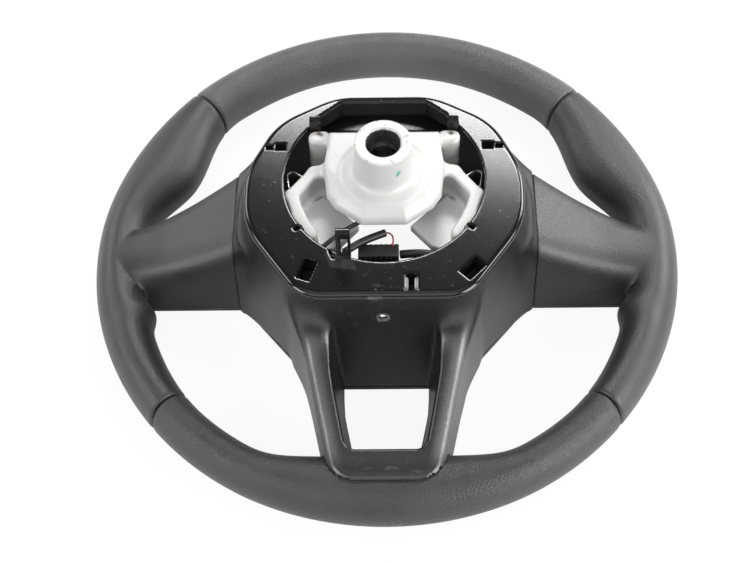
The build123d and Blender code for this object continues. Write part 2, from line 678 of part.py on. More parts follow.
# Plug and leads
with BuildPart() as connector:
    with Locations(CONNECTOR_AT):
        Box(*CONNECTOR_SIZE)
        with Locations((0, CONNECTOR_SIZE[1] / 2, 0), (0, -CONNECTOR_SIZE[1] / 2, 0)):
            with GridLocations(CONNECTOR_SIZE[0] / CONNECTOR_RIBS, 1, CONNECTOR_RIBS, 1):
                Box(CONNECTOR_RIB[0], 2 * CONNECTOR_RIB[1], CONNECTOR_SIZE[2] - 2 * CONNECTOR_RIB[1])
save(connector, "connector")

with BuildPart() as lead_sheath:
    add(tube(SHEATH_POINTS, bend_radii("lead_sheath", SHEATH_POINTS), SHEATH_R, SHEATH_BORE_R))
save(lead_sheath, "lead_sheath")

with BuildPart() as red_wire:
    add(tube(RED_WIRE_POINTS, bend_radii("red_wire", RED_WIRE_POINTS), RED_WIRE_R))
save(red_wire, "red_wire")

with BuildPart() as harness_right:
    add(tube(HARNESS_POINTS, bend_radii("harness_right", HARNESS_POINTS), HARNESS_R))
save(harness_right, "harness_right")

with BuildPart() as harness_left:
    add(tube(LEAD_POINTS, bend_radii("harness_left", LEAD_POINTS), LEAD_R))
save(harness_left, "harness_left")
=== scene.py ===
from functools import reduce
from math import cos, pi, radians, sin

import bpy
import numpy as np
import openvdb
from mathutils import Matrix


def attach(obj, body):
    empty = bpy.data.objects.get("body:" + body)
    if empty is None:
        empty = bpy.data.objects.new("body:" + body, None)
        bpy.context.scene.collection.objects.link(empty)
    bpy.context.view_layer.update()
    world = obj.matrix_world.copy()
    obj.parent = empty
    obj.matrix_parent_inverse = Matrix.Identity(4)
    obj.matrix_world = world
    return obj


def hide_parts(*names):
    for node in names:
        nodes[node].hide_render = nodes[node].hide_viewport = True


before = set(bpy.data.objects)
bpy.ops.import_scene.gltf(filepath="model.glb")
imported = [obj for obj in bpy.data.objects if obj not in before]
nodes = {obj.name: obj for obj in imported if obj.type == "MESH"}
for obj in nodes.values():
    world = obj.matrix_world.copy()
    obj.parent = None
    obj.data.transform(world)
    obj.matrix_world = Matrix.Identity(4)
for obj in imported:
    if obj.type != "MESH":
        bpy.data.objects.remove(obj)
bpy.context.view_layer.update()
scene = bpy.context.scene

# Sizes in millimetres, which the fields below work in
MM = 0.001

# Rim: its section is an ellipse, and angles run in degrees from the right, up
RIM_R = 171.0
RIM_HALF_WIDTH = 15.0
RIM_HALF_DEPTH = 18.0
RIM_INNER_R = RIM_R - RIM_HALF_WIDTH
CORE_R = 6.0
SEAM_UPPER = 44.0
SEAM_LOWER = -41.0
SEAM_HALF_GAP = 0.25
SEAM_ROLL = 2.6
SEAM_DEPTH = 9.0
FOAM_INSET = 2.8
THUMB_SWELL = 17.2
THUMB_AT = 24.7
THUMB_SPAN_LOW = 19.5
THUMB_SPAN_HIGH = 26.0
SLIM_LOW = 3.7
SLIM_LOW_FROM, SLIM_LOW_TO = -18, -48
SLIM_TOP = 2.0
SLIM_TOP_FROM, SLIM_TOP_TO = 52, 78
FLAT_BOTTOM = 144.8
FLAT_BLEND = 10.0
ROOT_SWELL = 4.5
ROOT_AT = -17
ROOT_SPAN = 3

# Side spokes
JOINT_X = 93.0
JOINT_GAP = 0.4
JOINT_ROLL = 1.2
SPOKE_FRONT = 8.0
SPOKE_REAR = 63.0
SPOKE_REAR_AT_RIM = 36.0
SPOKE_CURVE = 1.7
SPOKE_HIGH = 37.0
SPOKE_TAPER = 0.375
SPOKE_LOW = -33.0
SPOKE_RIDGE = -26.0
SPOKE_RIDGE_BLEND = 22.0
SPOKE_HIGH_BLEND = 20.0
SPOKE_ROUND_FROM, SPOKE_ROUND_TO = 104, 164
FILL_Y = (-34, -24, -8, 4, 16)
FILL_REACH = (12, 20, 30, 30, 7)
FILL_LEAST = 0.6
FILL_FADE = 30
FILL_FROM_Z, FILL_RUN_Z = 12, 14
FILL_AT_FRONT = 0.06
PUCKER_AT = (153, -33, 36)
PUCKER_SIZE = (5, 4, 7)
PUCKER_HEIGHT = 0.7
PUCKER_WAVE_X, PUCKER_WAVE_Y = 1.5, 0.5
LEATHER_WALL = 3.0
POCKET_TOP = 22.0

# Rear cover: drum with its ring, and the lower spoke
COVER_TOP = 100.0
COVER_WALL = 2.5
COVER_END_WALL = 6.0
END_WALL_REACH, END_WALL_RUN = 6, 3
COVER_EDGE_R = 3.4
COVER_FRONT_R = 1.0
COVER_RIM_GAP = 0.3
COVER_OUTLINE = ((48, -83), (83.2, -33), (83.9, 6), (66.2, 44), (30, 64.5))
COVER_FOOT_OUTLINE = ((42, -91), (88, -36), (88, 8), (70, 47.5), (32, 69))
COVER_CORNER_R = (24, 58, 58, 44, 40)
COVER_FOOT_R = (34, 50, 50, 44, 44)
COVER_DIRECTIONS = 144
COVER_SPLIT = 97.5
COVER_SLIP = 0.04
RING_OVERLAP, SKIRT_OVERLAP = 4, 1.5
STUB_BLEND = 34.0
STUB_BLEND_TOP, STUB_BLEND_RUN = 97, 24
STUB_START = 60
STUB_START_BLEND = 16.0
LEG_BLEND = 24.0
LEG_BLEND_Y, LEG_BLEND_RUN_Y = -58, 20
LEG_BLEND_X, LEG_BLEND_RUN_X = 27, 11
APERTURE_R = 59.7
APERTURE_EDGE_R = 0.9
SLOT_FLOOR = 88.0
SLOT_EDGE_R = 0.6
POCKET_WALL = 1.2
SHELF_HALF_WIDTH = 45
SHELF_Y = 43
LEG_TOP_Y = -80.0
LEG_END_Y = -158.0
LEG_END_REAR = 38.5
LEG_SLOPE = 0.413
LEG_FLARE = 8.0
LEG_FLARE_REACH = 9
LEG_FLARE_END = 4
LEG_OVERLAP = 3
LEG_HALF_WIDTH = 51.0
LEG_TAPER = 0.2244
LEG_LEAN = 1.5
LEG_WALL_SCALE = 0.975
LEG_EDGE_R = 5.5
FOOT_END_Y = -168.5
FOOT_REAR = 39.0
FOOT_LEVELLING = 1.5
FOOT_CORNER_R = 13.0
WINDOW_HALF_WIDTH = 32.0
WINDOW_TAPER = 0.2065
WINDOW_BEND_Y = -107.0
WINDOW_BEND = 4
WINDOW_LEAN = 6.0
WINDOW_END_Y = -149.3
WINDOW_END_LEAN = 3.0
WINDOW_CORNER_R = 5.5
WINDOW_EDGE_R = 2.6

# Small features of the ring, as middle, size and turn in degrees where they are rectangles
PAIRED_SLOTS = (
    ((62.85, 24.4), (6.5, 4.8), 0),
    ((69.6, 24.25), (4.4, 3.1), 0),
    ((50.6, -35.6), (4.5, 2.2), -35),
)
SINGLE_SLOTS = (
    ((-44.1, -64.8), (8.3, 14.0), -19.5),
    ((50.8, -64.7), (8.3, 14.0), -45.0),
    ((15.8, -73.6), (7.5, 10.5), 0),
    ((-30.4, -54.5), (1.2, 6.5), 24),
)
PEGS = ((-46.3, -70.6), (54.6, -67.5))
PEG_R = 2.2
PEG_Z = 93.0
CLIP_AT = (15.7, -73.6)
CLIP_SPREAD = 2.6
CLIP_HALF_WALL = 0.8
CLIP_HALF_LENGTH = 4.2
CLIP_TOP = 98.0
BRACKET_AT = (-23.1, -54)
BRACKET_SIZE = (8.3, 5.0)
BRACKET_TOP = 122.0
SLIT_X = -22.4
SLIT_HALF_WIDTH = 2.0
SLIT_BOTTOM, SLIT_TOP = 102, 117
SCREW_HOLE_X, SCREW_HOLE_Z = -1, 79
SCREW_HOLE_R = 2.3
SCREW_HOLE_END_Y = -82.8
LIP_Y = 53
LIP_HALF_WIDTH = 26
LIP_SIDE_RUN, LIP_SIDE_FALL = 18, 12
LIP_END_X, LIP_END_Y = 45.5, 38
LIP_HALF_WALL = 1.5
LIP_TOP = 110
LIP_TOP_TILT = 0.35
LIP_TOP_FALL = 3
LIP_FALL_RUN = 16
LIP_BLOCK_LOW, LIP_BLOCK_HIGH = (38.5, 37), (45.5, 42)
LIP_BLOCK_TOP, LIP_BLOCK_BOTTOM = 107.5, 97
LIP_BLOCK_TILT = 0.3

# Casting
HUB_TOP = 134.0
BOSS_R = 16.8
BORE_R = 10.15
INSERT_R = 12.45
INSERT_TOP = 132.5
MOUTH_BOTTOM = 131
PLATE_TOP = 106.0
PLATE_BOTTOM = 96.0
PLATE_POINTS = [(13.2, -32), (29, -20.5), (34, -12.5), (36, 6), (33, 31)]
PLATE_SLOPE = 0.85
PLATE_SLOPE_FROM = 6.5
PAD_R = 25
PAD_RISE = 1.0
POST_X, POST_Y = 39.5, 31.5
POST_HALF_WIDTH, POST_HALF_LENGTH = 6.7, 5.2
POST_TOP = PLATE_BOTTOM + 4.5
POST_BOTTOM = 74
RIB_POINTS = [(30, 11), (42, 8), (55.2, -9), (50.5, -24.5), (43, -37)]
RIB_HALF_WIDTH = 3.9
RIB_TOP, RIB_BOTTOM = 97, 68
WEB_POINTS = [(15.5, -19.5), (28, -34), (37, -38), (47, -33), (51.5, -8), (37.5, 3)]
WEB_TOP, WEB_BOTTOM = 78, 72
FAR_SIDE = -90
FAR_CORNER = (70, 60)
CAST_EDGE_R = 1.0
PLATE_EDGE_R = 2.0
PLATE_SLOPE_BLEND = 2.5
PAD_BLEND = 3.0
PAD_FILLET = 5.0
BOSS_EDGE_R = 0.7
BOSS_FILLET = 12.0
POST_CORNER_R = 4.6
POST_EDGE_R = 2.4
POST_FILLET = 8.0
RIB_EDGE_R = 1.6
RIB_FILLET = 8.0
WEB_FILLET = 4.0


# Fields: signed distances, below nought inside


def soft_min(a, b, reach):
    """Union whose joint is filled where the two distances differ by less than reach."""
    near = np.maximum(reach - abs(a - b), 0) / reach
    return np.minimum(a, b) - near**3 * reach / 6


def soft_max(a, b, reach):
    """Intersection with its edge rounded over reach."""
    return -soft_min(-a, -b, reach)


def round_max(a, b, radius):
    """Intersection whose edge is an arc of that radius."""
    corner = np.hypot(np.maximum(a + radius, 0), np.maximum(b + radius, 0))
    return np.minimum(-radius, np.maximum(a, b)) + corner


def ease(value, start, end):
    """Run from nought at start to one at end, level at both."""
    share = np.clip((value - start) / (end - start), 0, 1)
    return share**2 * (3 - 2 * share)


def box_field(x, y, low, high):
    """Rectangle in plan: the largest of the four distances past its sides."""
    return np.maximum(np.maximum(low[0] - x, x - high[0]), np.maximum(low[1] - y, y - high[1]))


def turned_box(x, y, centre, size, turn):
    """Rectangle in plan, turned about its middle by an angle in degrees."""
    along = (x - centre[0]) * cos(radians(turn)) + (y - centre[1]) * sin(radians(turn))
    across = (y - centre[1]) * cos(radians(turn)) - (x - centre[0]) * sin(radians(turn))
    return np.maximum(abs(along) - size[0] / 2, abs(across) - size[1] / 2)


def convex_field(x, y, points):
    """Convex outline given anticlockwise: the largest distance past any of its sides."""
    result = None
    for (x0, y0), (x1, y1) in zip(points, points[1:] + points[:1]):
        length = np.hypot(x1 - x0, y1 - y0)
        side = ((x - x0) * (y1 - y0) - (y - y0) * (x1 - x0)) / length
        result = side if result is None else np.maximum(result, side)
    return result


def stroke_field(x, y, points, half_width):
    """Band along a line in plan: distance to its nearest run, less half the width."""
    result = None
    for (x0, y0), (x1, y1) in zip(points, points[1:]):
        dx, dy = x1 - x0, y1 - y0
        share = np.clip(((x - x0) * dx + (y - y0) * dy) / (dx * dx + dy * dy), 0, 1)
        run = np.hypot(x - x0 - share * dx, y - y0 - share * dy)
        result = run if result is None else soft_min(result, run, half_width)
    return result - half_width


def rim_field(x, y, z, swell):
    """Rim: an ellipse round a circle about Z. Swell widens the section inwards."""
    half = RIM_HALF_WIDTH + swell / 2
    across = (np.hypot(x, y) - RIM_R + swell / 2) / half
    deep = (z - RIM_HALF_DEPTH) / RIM_HALF_DEPTH
    level = np.sqrt(across**2 + deep**2) + 1e-6
    slope = np.sqrt((across / half) ** 2 + (deep / RIM_HALF_DEPTH) ** 2) + 1e-6
    return level * (level - 1) / slope


def rim_swell(angle):
    """How far the inner side of the rim stands in from a plain ring. The thumb rest is a squared cosine of
    angle, drawn out towards the upper seam. The ring is slimmer at the top and below the spokes, fuller just
    under the spoke's root, and its inner side runs straight along the bottom."""
    past = angle - THUMB_AT
    place = np.clip(past / np.where(past < 0, THUMB_SPAN_LOW, THUMB_SPAN_HIGH), -1, 1)
    thumb = THUMB_SWELL * np.cos(place * pi / 2) ** 2
    slim_low = SLIM_LOW * ease(angle, SLIM_LOW_FROM, SLIM_LOW_TO)
    slim_top = SLIM_TOP * ease(angle, SLIM_TOP_FROM, SLIM_TOP_TO)
    level = FLAT_BOTTOM / np.maximum(-np.sin(np.radians(angle)), 0.3)
    root = ROOT_SWELL * np.exp(-(((angle - ROOT_AT) / ROOT_SPAN) ** 2))
    return thumb + root + RIM_INNER_R - soft_min(RIM_INNER_R + slim_low + slim_top, level, FLAT_BLEND)


def spoke_field(x, y, z):
    """Right spoke: under a rear face that falls to the rim by a power of the way left and meets its crest
    level, between its lower wall and its slanting upper edge. The fall follows X near the cover and the
    rim's radius near the rim."""
    along = x + (np.hypot(x, y) - x) * ease(x, SPOKE_ROUND_FROM, SPOKE_ROUND_TO)
    run = np.clip((RIM_R - along) / (RIM_R - JOINT_X), 1e-3, 2)
    fall = SPOKE_REAR - SPOKE_REAR_AT_RIM
    rear_height = SPOKE_REAR_AT_RIM + fall * run**SPOKE_CURVE
    slope = fall * SPOKE_CURVE / (RIM_R - JOINT_X) * run ** (SPOKE_CURVE - 1)
    rear = (z - rear_height) / np.sqrt(1 + slope**2)
    lean = SPOKE_RIDGE - SPOKE_LOW
    tall = rear_height - SPOKE_FRONT
    low = ((SPOKE_LOW - y) * tall + (z - SPOKE_FRONT) * lean) / np.sqrt(tall**2 + lean**2)
    high = (y - SPOKE_HIGH + SPOKE_TAPER * (x - JOINT_X)) / np.sqrt(1 + SPOKE_TAPER**2)
    return soft_max(soft_max(rear, low, SPOKE_RIDGE_BLEND), high, SPOKE_HIGH_BLEND)


def side_body(x, y, z):
    """Rim with its thumb rest and the right spoke, run together. The fill between them is wide on the rear
    face, small in the notches above and below, and next to nothing at the front. Its lower end is puckered
    by a sine under a bell."""
    around = np.hypot(x, y)
    rim = rim_field(x, y, z, rim_swell(np.degrees(np.arctan2(y, x))))
    spoke = np.maximum(spoke_field(x, y, z), np.maximum(around - RIM_R, SPOKE_FRONT - z))
    reach = np.interp(y, FILL_Y, FILL_REACH) * np.clip((z - FILL_FROM_Z) / FILL_RUN_Z, FILL_AT_FRONT, 1)
    reach = FILL_LEAST + np.maximum(reach - FILL_LEAST, 0) * ease(around, RIM_R, RIM_R - FILL_FADE)
    away = [((here - at) / size) ** 2 for here, at, size in zip((x, y, z), PUCKER_AT, PUCKER_SIZE)]
    pucker = PUCKER_HEIGHT * np.exp(-away[0] - away[1] - away[2])
    return soft_min(rim, spoke, reach) - pucker * np.sin(PUCKER_WAVE_X * x + PUCKER_WAVE_Y * y)


def side_leather_field(x, y, z):
    """Right leather panel: the body cut at both seams and at the joint with the rear cover, and hollowed in
    front for the switches."""
    around = np.hypot(x, y)
    angle = np.degrees(np.arctan2(y, x))
    seam = np.maximum(angle - SEAM_UPPER, SEAM_LOWER - angle) * pi / 180 * around + SEAM_HALF_GAP
    skin = round_max(round_max(side_body(x, y, z), seam, SEAM_ROLL), JOINT_X - x, JOINT_ROLL)
    pocket = np.maximum(spoke_field(x, y, z) + LEATHER_WALL, z - POCKET_TOP)
    return np.maximum(skin, -np.maximum(pocket, around - RIM_INNER_R + 2))


def side_foam_field(x, y, z):
    """Foam in the right panel: the body inset all round, clear of the pocket for the switches."""
    foam = np.maximum(side_body(x, y, z) + FOAM_INSET, JOINT_X + 1 - x)
    return np.maximum(foam, np.where(np.hypot(x, y) < RIM_INNER_R + 6, POCKET_TOP + 1 - z, -9.0))


def outline_reach(points, radii):
    """How far a rounded outline reaches in each of many directions: its corners are discs inside its
    sides."""
    corners = list(points) + [(-x, y) for x, y in reversed(points)]
    radius = np.array(list(radii) + list(radii[::-1]), float)
    here = np.array(corners, float)
    to_before = np.roll(here, 1, 0) - here
    to_after = np.roll(here, -1, 0) - here
    to_before /= np.linalg.norm(to_before, axis=1)[:, None]
    to_after /= np.linalg.norm(to_after, axis=1)[:, None]
    middle = to_before + to_after
    middle /= np.linalg.norm(middle, axis=1)[:, None]
    half_angle = np.arccos(np.clip((to_before * to_after).sum(1), -1, 1)) / 2
    centres = here + middle * (radius / np.sin(half_angle))[:, None]
    angles = np.linspace(0, 2 * pi, COVER_DIRECTIONS, endpoint=False)
    directions = np.stack([np.cos(angles), np.sin(angles)], 1)
    return directions, (directions @ centres.T + radius).max(1)


def drum_field(x, y, z):
    """Drum of the rear cover: the largest distance past its outline in any direction. The outline changes
    evenly with height."""
    directions, top = outline_reach(COVER_OUTLINE, COVER_CORNER_R)
    foot = outline_reach(COVER_FOOT_OUTLINE, COVER_FOOT_R)[1]
    share = (z - SPOKE_FRONT) / (COVER_TOP - SPOKE_FRONT)
    result = None
    for (dx, dy), reach_top, reach_foot in zip(directions, top, foot):
        past = (x * np.float32(dx) + y * np.float32(dy)) - (reach_foot + (reach_top - reach_foot) * share)
        result = past if result is None else np.maximum(result, past, out=result)
    return result


def leg_rear(y):
    """Rear height of the lower spoke: a straight slope that levels off on the rim, with an upward flare that
    dies away from the skirt."""
    slope = LEG_END_REAR + (y - LEG_END_Y) * LEG_SLOPE
    slope = slope + FOOT_LEVELLING * np.log1p(np.exp((FOOT_REAR - slope) / FOOT_LEVELLING))
    return slope + LEG_FLARE * np.exp(np.minimum(y - LEG_TOP_Y, LEG_FLARE_END) / LEG_FLARE_REACH)


def leg_outer(y):
    """Half the width over both legs, which narrows evenly towards the foot."""
    return LEG_HALF_WIDTH + LEG_TAPER * (y - LEG_TOP_Y)


def lower_spoke_field(x, y, z):
    """Two legs and the foot bar as one plate under a sloping rear face, with leaning walls, rounded outside
    edges and a window whose corners are rounded."""
    away = abs(x)
    rear_height = leg_rear(y)
    depth = np.clip((rear_height - z) / (rear_height - SPOKE_FRONT), 0, 1)
    rear = (z - rear_height) / np.sqrt(1 + LEG_SLOPE**2)
    outside = (away - leg_outer(y) - LEG_LEAN * depth) * LEG_WALL_SCALE
    body = round_max(round_max(outside, FOOT_END_Y - y, FOOT_CORNER_R), rear, LEG_EDGE_R)
    narrowing = WINDOW_BEND * np.log1p(np.exp((WINDOW_BEND_Y - y) / WINDOW_BEND))
    side = away - WINDOW_HALF_WIDTH + WINDOW_TAPER * narrowing + WINDOW_LEAN * depth
    window = round_max(side, WINDOW_END_Y + WINDOW_END_LEAN * depth - y, WINDOW_CORNER_R)
    return np.maximum(round_max(body, -window, WINDOW_EDGE_R), y - LEG_TOP_Y - LEG_OVERLAP)


def lip_field(x, y, z):
    """Bent wall on the upper side of the ring: a band inside three sides of an outline, with a block at each
    end. Its top falls towards the ends."""
    away = abs(x)
    slant = (away - LIP_HALF_WIDTH) * LIP_SIDE_FALL + (y - LIP_Y) * LIP_SIDE_RUN
    reach = np.maximum(y - LIP_Y, slant / np.hypot(LIP_SIDE_RUN, LIP_SIDE_FALL))
    wall = abs(reach + LIP_HALF_WALL) - LIP_HALF_WALL
    wall = np.maximum(wall, np.maximum(away - LIP_END_X, LIP_END_Y - y))
    fall = LIP_TOP_FALL * np.clip((away - LIP_HALF_WIDTH - 1) / LIP_FALL_RUN, 0, 1)
    top = z - LIP_TOP - LIP_TOP_TILT * reach + fall
    wall = np.maximum(wall, np.maximum(top, COVER_TOP - COVER_WALL - z))
    block_top = z - LIP_BLOCK_TOP - LIP_BLOCK_TILT * (y - LIP_BLOCK_HIGH[1])
    block = box_field(away, y, LIP_BLOCK_LOW, LIP_BLOCK_HIGH)
    block = np.maximum(block, np.maximum(block_top, LIP_BLOCK_BOTTOM - z))
    return np.minimum(wall, block)


def slot_field(x, y):
    """All slots of the ring in plan: the nearest of their rectangles."""
    paired = [turned_box(abs(x), y, *slot) for slot in PAIRED_SLOTS]
    single = [turned_box(x, y, *slot) for slot in SINGLE_SLOTS]
    return reduce(np.minimum, paired + single)


def catches_field(x, y, z):
    """Round pegs in two of the slots and a clip with two walls in a third."""
    pegs = [np.hypot(np.hypot(x - at[0], y - at[1]), z - PEG_Z) - PEG_R for at in PEGS]
    walls = abs(abs(x - CLIP_AT[0]) - CLIP_SPREAD) - CLIP_HALF_WALL
    clip = np.maximum(walls, abs(y - CLIP_AT[1]) - CLIP_HALF_LENGTH)
    return reduce(np.minimum, pegs + [np.maximum(clip, np.maximum(z - CLIP_TOP, SLOT_FLOOR - 1 - z))])


def bracket_field(x, y, z):
    """Upright tab on the ring with a slit through it."""
    block = turned_box(x, y, BRACKET_AT, BRACKET_SIZE, 0)
    block = np.maximum(block, np.maximum(z - BRACKET_TOP, COVER_TOP - 3 - z))
    slit = np.maximum(abs(x - SLIT_X) - SLIT_HALF_WIDTH, np.maximum(z - SLIT_TOP, SLIT_BOTTOM - z))
    return np.maximum(block, -slit)


def cover_body(x, y, z, drum):
    """Rear cover as a full body: drum, spoke stubs, legs and foot run together under a flat ring."""
    away = abs(x)
    stub = soft_max(spoke_field(away, y, z), STUB_START - away, STUB_START_BLEND)
    below = np.clip((STUB_BLEND_TOP - z) / STUB_BLEND_RUN, 0.02, 1)
    body = soft_min(drum, stub, STUB_BLEND * below)
    along = np.clip((LEG_BLEND_Y - y) / LEG_BLEND_RUN_Y, 0.02, 1)
    outward = np.clip((away - LEG_BLEND_X) / LEG_BLEND_RUN_X, 0.12, 1)
    body = soft_min(body, lower_spoke_field(x, y, z), LEG_BLEND * along * outward)
    return round_max(body, z - COVER_TOP, COVER_EDGE_R)


def cover_field(x, y, z):
    """Rear cover: the body as a shell, thicker at the joints with the leather, with its aperture, shelf,
    lip, slots over blind pockets, catches, bracket and screw hole, cut off at the front, the joints and
    the rim."""
    away = abs(x)
    drum = drum_field(x, y, z)
    body = cover_body(x, y, z, drum)
    wall = COVER_WALL + COVER_END_WALL * np.clip((away - JOINT_X + END_WALL_REACH) / END_WALL_RUN, 0, 1)
    shell = np.maximum(body, -(body + wall))
    aperture = np.maximum(np.hypot(x, y) - APERTURE_R, SLOT_FLOOR - z)
    shell = round_max(shell, -aperture, APERTURE_EDGE_R)
    shelf = np.maximum(abs(x) - SHELF_HALF_WIDTH, SHELF_Y - y)
    shelf = np.maximum(np.maximum(shelf, abs(z - SLOT_FLOOR) - POCKET_WALL), drum + 1)
    shell = np.minimum(np.minimum(shell, shelf), lip_field(x, y, z))
    slots = slot_field(x, y)
    pockets = np.maximum(slots - POCKET_WALL, np.maximum(SLOT_FLOOR - 2 - z, z - COVER_TOP + 1))
    shell = round_max(np.minimum(shell, pockets), -np.maximum(slots, SLOT_FLOOR - z), SLOT_EDGE_R)
    shell = np.minimum(np.minimum(shell, catches_field(x, y, z)), bracket_field(x, y, z))
    hole = np.hypot(x - SCREW_HOLE_X, z - SCREW_HOLE_Z) - SCREW_HOLE_R
    shell = np.maximum(shell, -np.maximum(hole, y - SCREW_HOLE_END_Y))
    shell = np.maximum(round_max(shell, SPOKE_FRONT - z, COVER_FRONT_R), away - JOINT_X + JOINT_GAP)
    rim = rim_field(x, y, z, rim_swell(np.degrees(np.arctan2(y, away))))
    return np.maximum(shell, COVER_RIM_GAP - rim)


def ring_field(x, y, z):
    """Ring of the rear cover, which has the small features. It slips under the skirt's face below the
    split."""
    under = COVER_SLIP * np.maximum(COVER_SPLIT - z, 0)
    return np.maximum(cover_field(x, y, z) + under, COVER_SPLIT - RING_OVERLAP - z)


def skirt_field(x, y, z):
    """Rear cover below the ring. It slips under the ring's face above the split."""
    under = COVER_SLIP * np.maximum(z - COVER_SPLIT, 0)
    return np.maximum(cover_field(x, y, z) + under, z - COVER_SPLIT - SKIRT_OVERLAP)


def casting_field(x, y, z):
    """Middle of the casting: plate with a sloping front edge and a low round pad, boss, posts, ribs and
    webs, run together with cast fillets."""
    away = abs(x)
    radius = np.hypot(x, y)
    low_y, high_y = PLATE_POINTS[0][1], PLATE_POINTS[-1][1]
    plate = convex_field(away, y, [(FAR_SIDE, low_y)] + PLATE_POINTS + [(FAR_SIDE, high_y)])
    far_points = [FAR_CORNER, (FAR_SIDE, FAR_CORNER[1])]
    front = convex_field(away, y, [(FAR_SIDE, low_y)] + PLATE_POINTS[:3] + far_points)
    slope = (z - PLATE_TOP + PLATE_SLOPE * (front + PLATE_SLOPE_FROM)) / np.hypot(1, PLATE_SLOPE)
    top = soft_max(z - PLATE_TOP, slope, PLATE_SLOPE_BLEND)
    plate = round_max(round_max(plate, top, PLATE_EDGE_R), PLATE_BOTTOM - z, CAST_EDGE_R)
    pad = np.maximum(soft_max(radius - PAD_R, z - PLATE_TOP - PAD_RISE, PAD_BLEND), PLATE_BOTTOM - z)
    boss = round_max(round_max(radius - BOSS_R, z - HUB_TOP, BOSS_EDGE_R), PLATE_BOTTOM - z, CAST_EDGE_R)
    flank = abs(away - POST_X) - POST_HALF_WIDTH
    posts = round_max(flank, abs(y - POST_Y) - POST_HALF_LENGTH, POST_CORNER_R)
    posts = round_max(round_max(posts, z - POST_TOP, POST_EDGE_R), POST_BOTTOM - z, CAST_EDGE_R)
    rib = stroke_field(away, y, RIB_POINTS, RIB_HALF_WIDTH)
    rib = round_max(round_max(rib, z - RIB_TOP, RIB_EDGE_R), RIB_BOTTOM - z, CAST_EDGE_R)
    web = convex_field(away, y, WEB_POINTS)
    web = round_max(round_max(web, z - WEB_TOP, CAST_EDGE_R), WEB_BOTTOM - z, CAST_EDGE_R)
    body = soft_min(soft_min(plate, pad, PAD_FILLET), boss, BOSS_FILLET)
    body = soft_min(body, posts, POST_FILLET)
    body = soft_min(body, soft_min(rib, web, WEB_FILLET), RIB_FILLET)
    mouth = np.maximum(radius - BORE_R - np.maximum(z - HUB_TOP + 1, 0), MOUTH_BOTTOM - z)
    return np.maximum(body, -np.minimum(mouth, np.maximum(radius - INSERT_R, z - INSERT_TOP)))


def spots(points, places, size):
    """Strength of round marks at given places: one at the middle, nought beyond their size."""
    result = np.zeros(len(points))
    for place in places:
        gap = np.linalg.norm(points - np.array(place, float), axis=1)
        result = np.maximum(result, np.clip(1.6 - 1.6 * gap / size, 0, 1))
    return result


def level_mesh(field, low, high, step):
    """Mesh of a field's zero level: sampled on a grid, cut into quads, and each corner moved onto the level
    along the field's slope."""
    axes = [np.arange(a, b + step, step, dtype=np.float32) for a, b in zip(low, high)]
    x, y, z = np.meshgrid(*axes, indexing="ij", sparse=True)
    values = np.broadcast_to(field(x, y, z), [len(a) for a in axes])
    band = 3 * step
    grid = openvdb.FloatGrid(band)
    grid.copyFromArray(np.ascontiguousarray(np.clip(values, -band, band), dtype=np.float32))
    corners, quads = grid.convertToQuads(0.0)
    points = np.array(low) + corners.astype(float) * step
    start = points.copy()
    nudge = 0.05
    farthest = 0.6 * step
    for _ in range(4):
        here = field(*points.T)
        sides = [field(*(points + n).T) - field(*(points - n).T) for n in nudge * np.eye(3)]
        slope = np.stack(sides, 1) / (2 * nudge)
        steep = np.maximum((slope**2).sum(1), 0.25)
        points -= slope * (here / steep)[:, None]
        points = np.clip(points, start - farthest, start + farthest)
    a, b, c = (points[quads[:, k]] for k in range(3))
    outward = (np.cross(b - a, c - a) * slope[quads[:, 0]]).sum(1)
    if np.median(outward) < 0:
        quads = quads[:, ::-1]
    return points, quads


def grid_mesh(rows):
    """Quads over a grid of points, rows by columns, closed along the columns."""
    count, around = rows.shape[:2]
    index = np.arange(count * around).reshape(count, around)
    right = np.roll(index, -1, 1)
    quads = np.stack([index[:-1], right[:-1], right[1:], index[1:]], -1).reshape(-1, 4)
    return rows.reshape(-1, 3), quads


def add_piece(name, points, quads, finish, slot, *replaced, marks=None):
    """New smooth mesh in metres that rides on the wheel and stands for CAD nodes. Marks are values at its
    points."""
    mesh = bpy.data.meshes.new(name)
    mesh.from_pydata(np.asarray(points) * MM, [], np.asarray(quads).tolist())
    mesh.shade_smooth()
    mesh.set_sharp_from_angle(angle=radians(38))
    mesh.materials.append(finish)
    for label, values in (marks or {}).items():
        mesh.attributes.new(label, "FLOAT", "POINT").data.foreach_set("value", values.astype(np.float32))
    piece = bpy.data.objects.new(name, mesh)
    scene.collection.objects.link(piece)
    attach(piece, "wheel")
    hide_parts(*replaced)


# Finishes: effects that surfaces share, then one material for each surface


def new_node(tree, kind, values=(), **settings):
    """Shader node with settings and input values."""
    made = tree.nodes.new(kind)
    for key, value in settings.items():
        setattr(made, key, value)
    for key, value in dict(values).items():
        made.inputs[key].default_value = value
    return made


def math_node(tree, operation, first, second, third=None):
    """Arithmetic on sockets or numbers."""
    made = new_node(tree, "ShaderNodeMath", operation=operation)
    for socket, value in zip(made.inputs, (first, second, third)):
        if isinstance(value, bpy.types.NodeSocket):
            tree.links.new(value, socket)
        elif value is not None:
            socket.default_value = value
    return made.outputs[0]


def new_effect(name, scale):
    """Node group with a Scale input and one output, Amount."""
    tree = bpy.data.node_groups.new(name, "ShaderNodeTree")
    tree.interface.new_socket("Scale", in_out="INPUT", socket_type="NodeSocketFloat").default_value = scale
    tree.interface.new_socket("Amount", in_out="OUTPUT", socket_type="NodeSocketFloat")
    given = tree.nodes.new("NodeGroupInput").outputs["Scale"]
    result = tree.nodes.new("NodeGroupOutput").inputs["Amount"]
    place = tree.nodes.new("ShaderNodeTexCoord").outputs["Object"]
    return tree, given, place, result


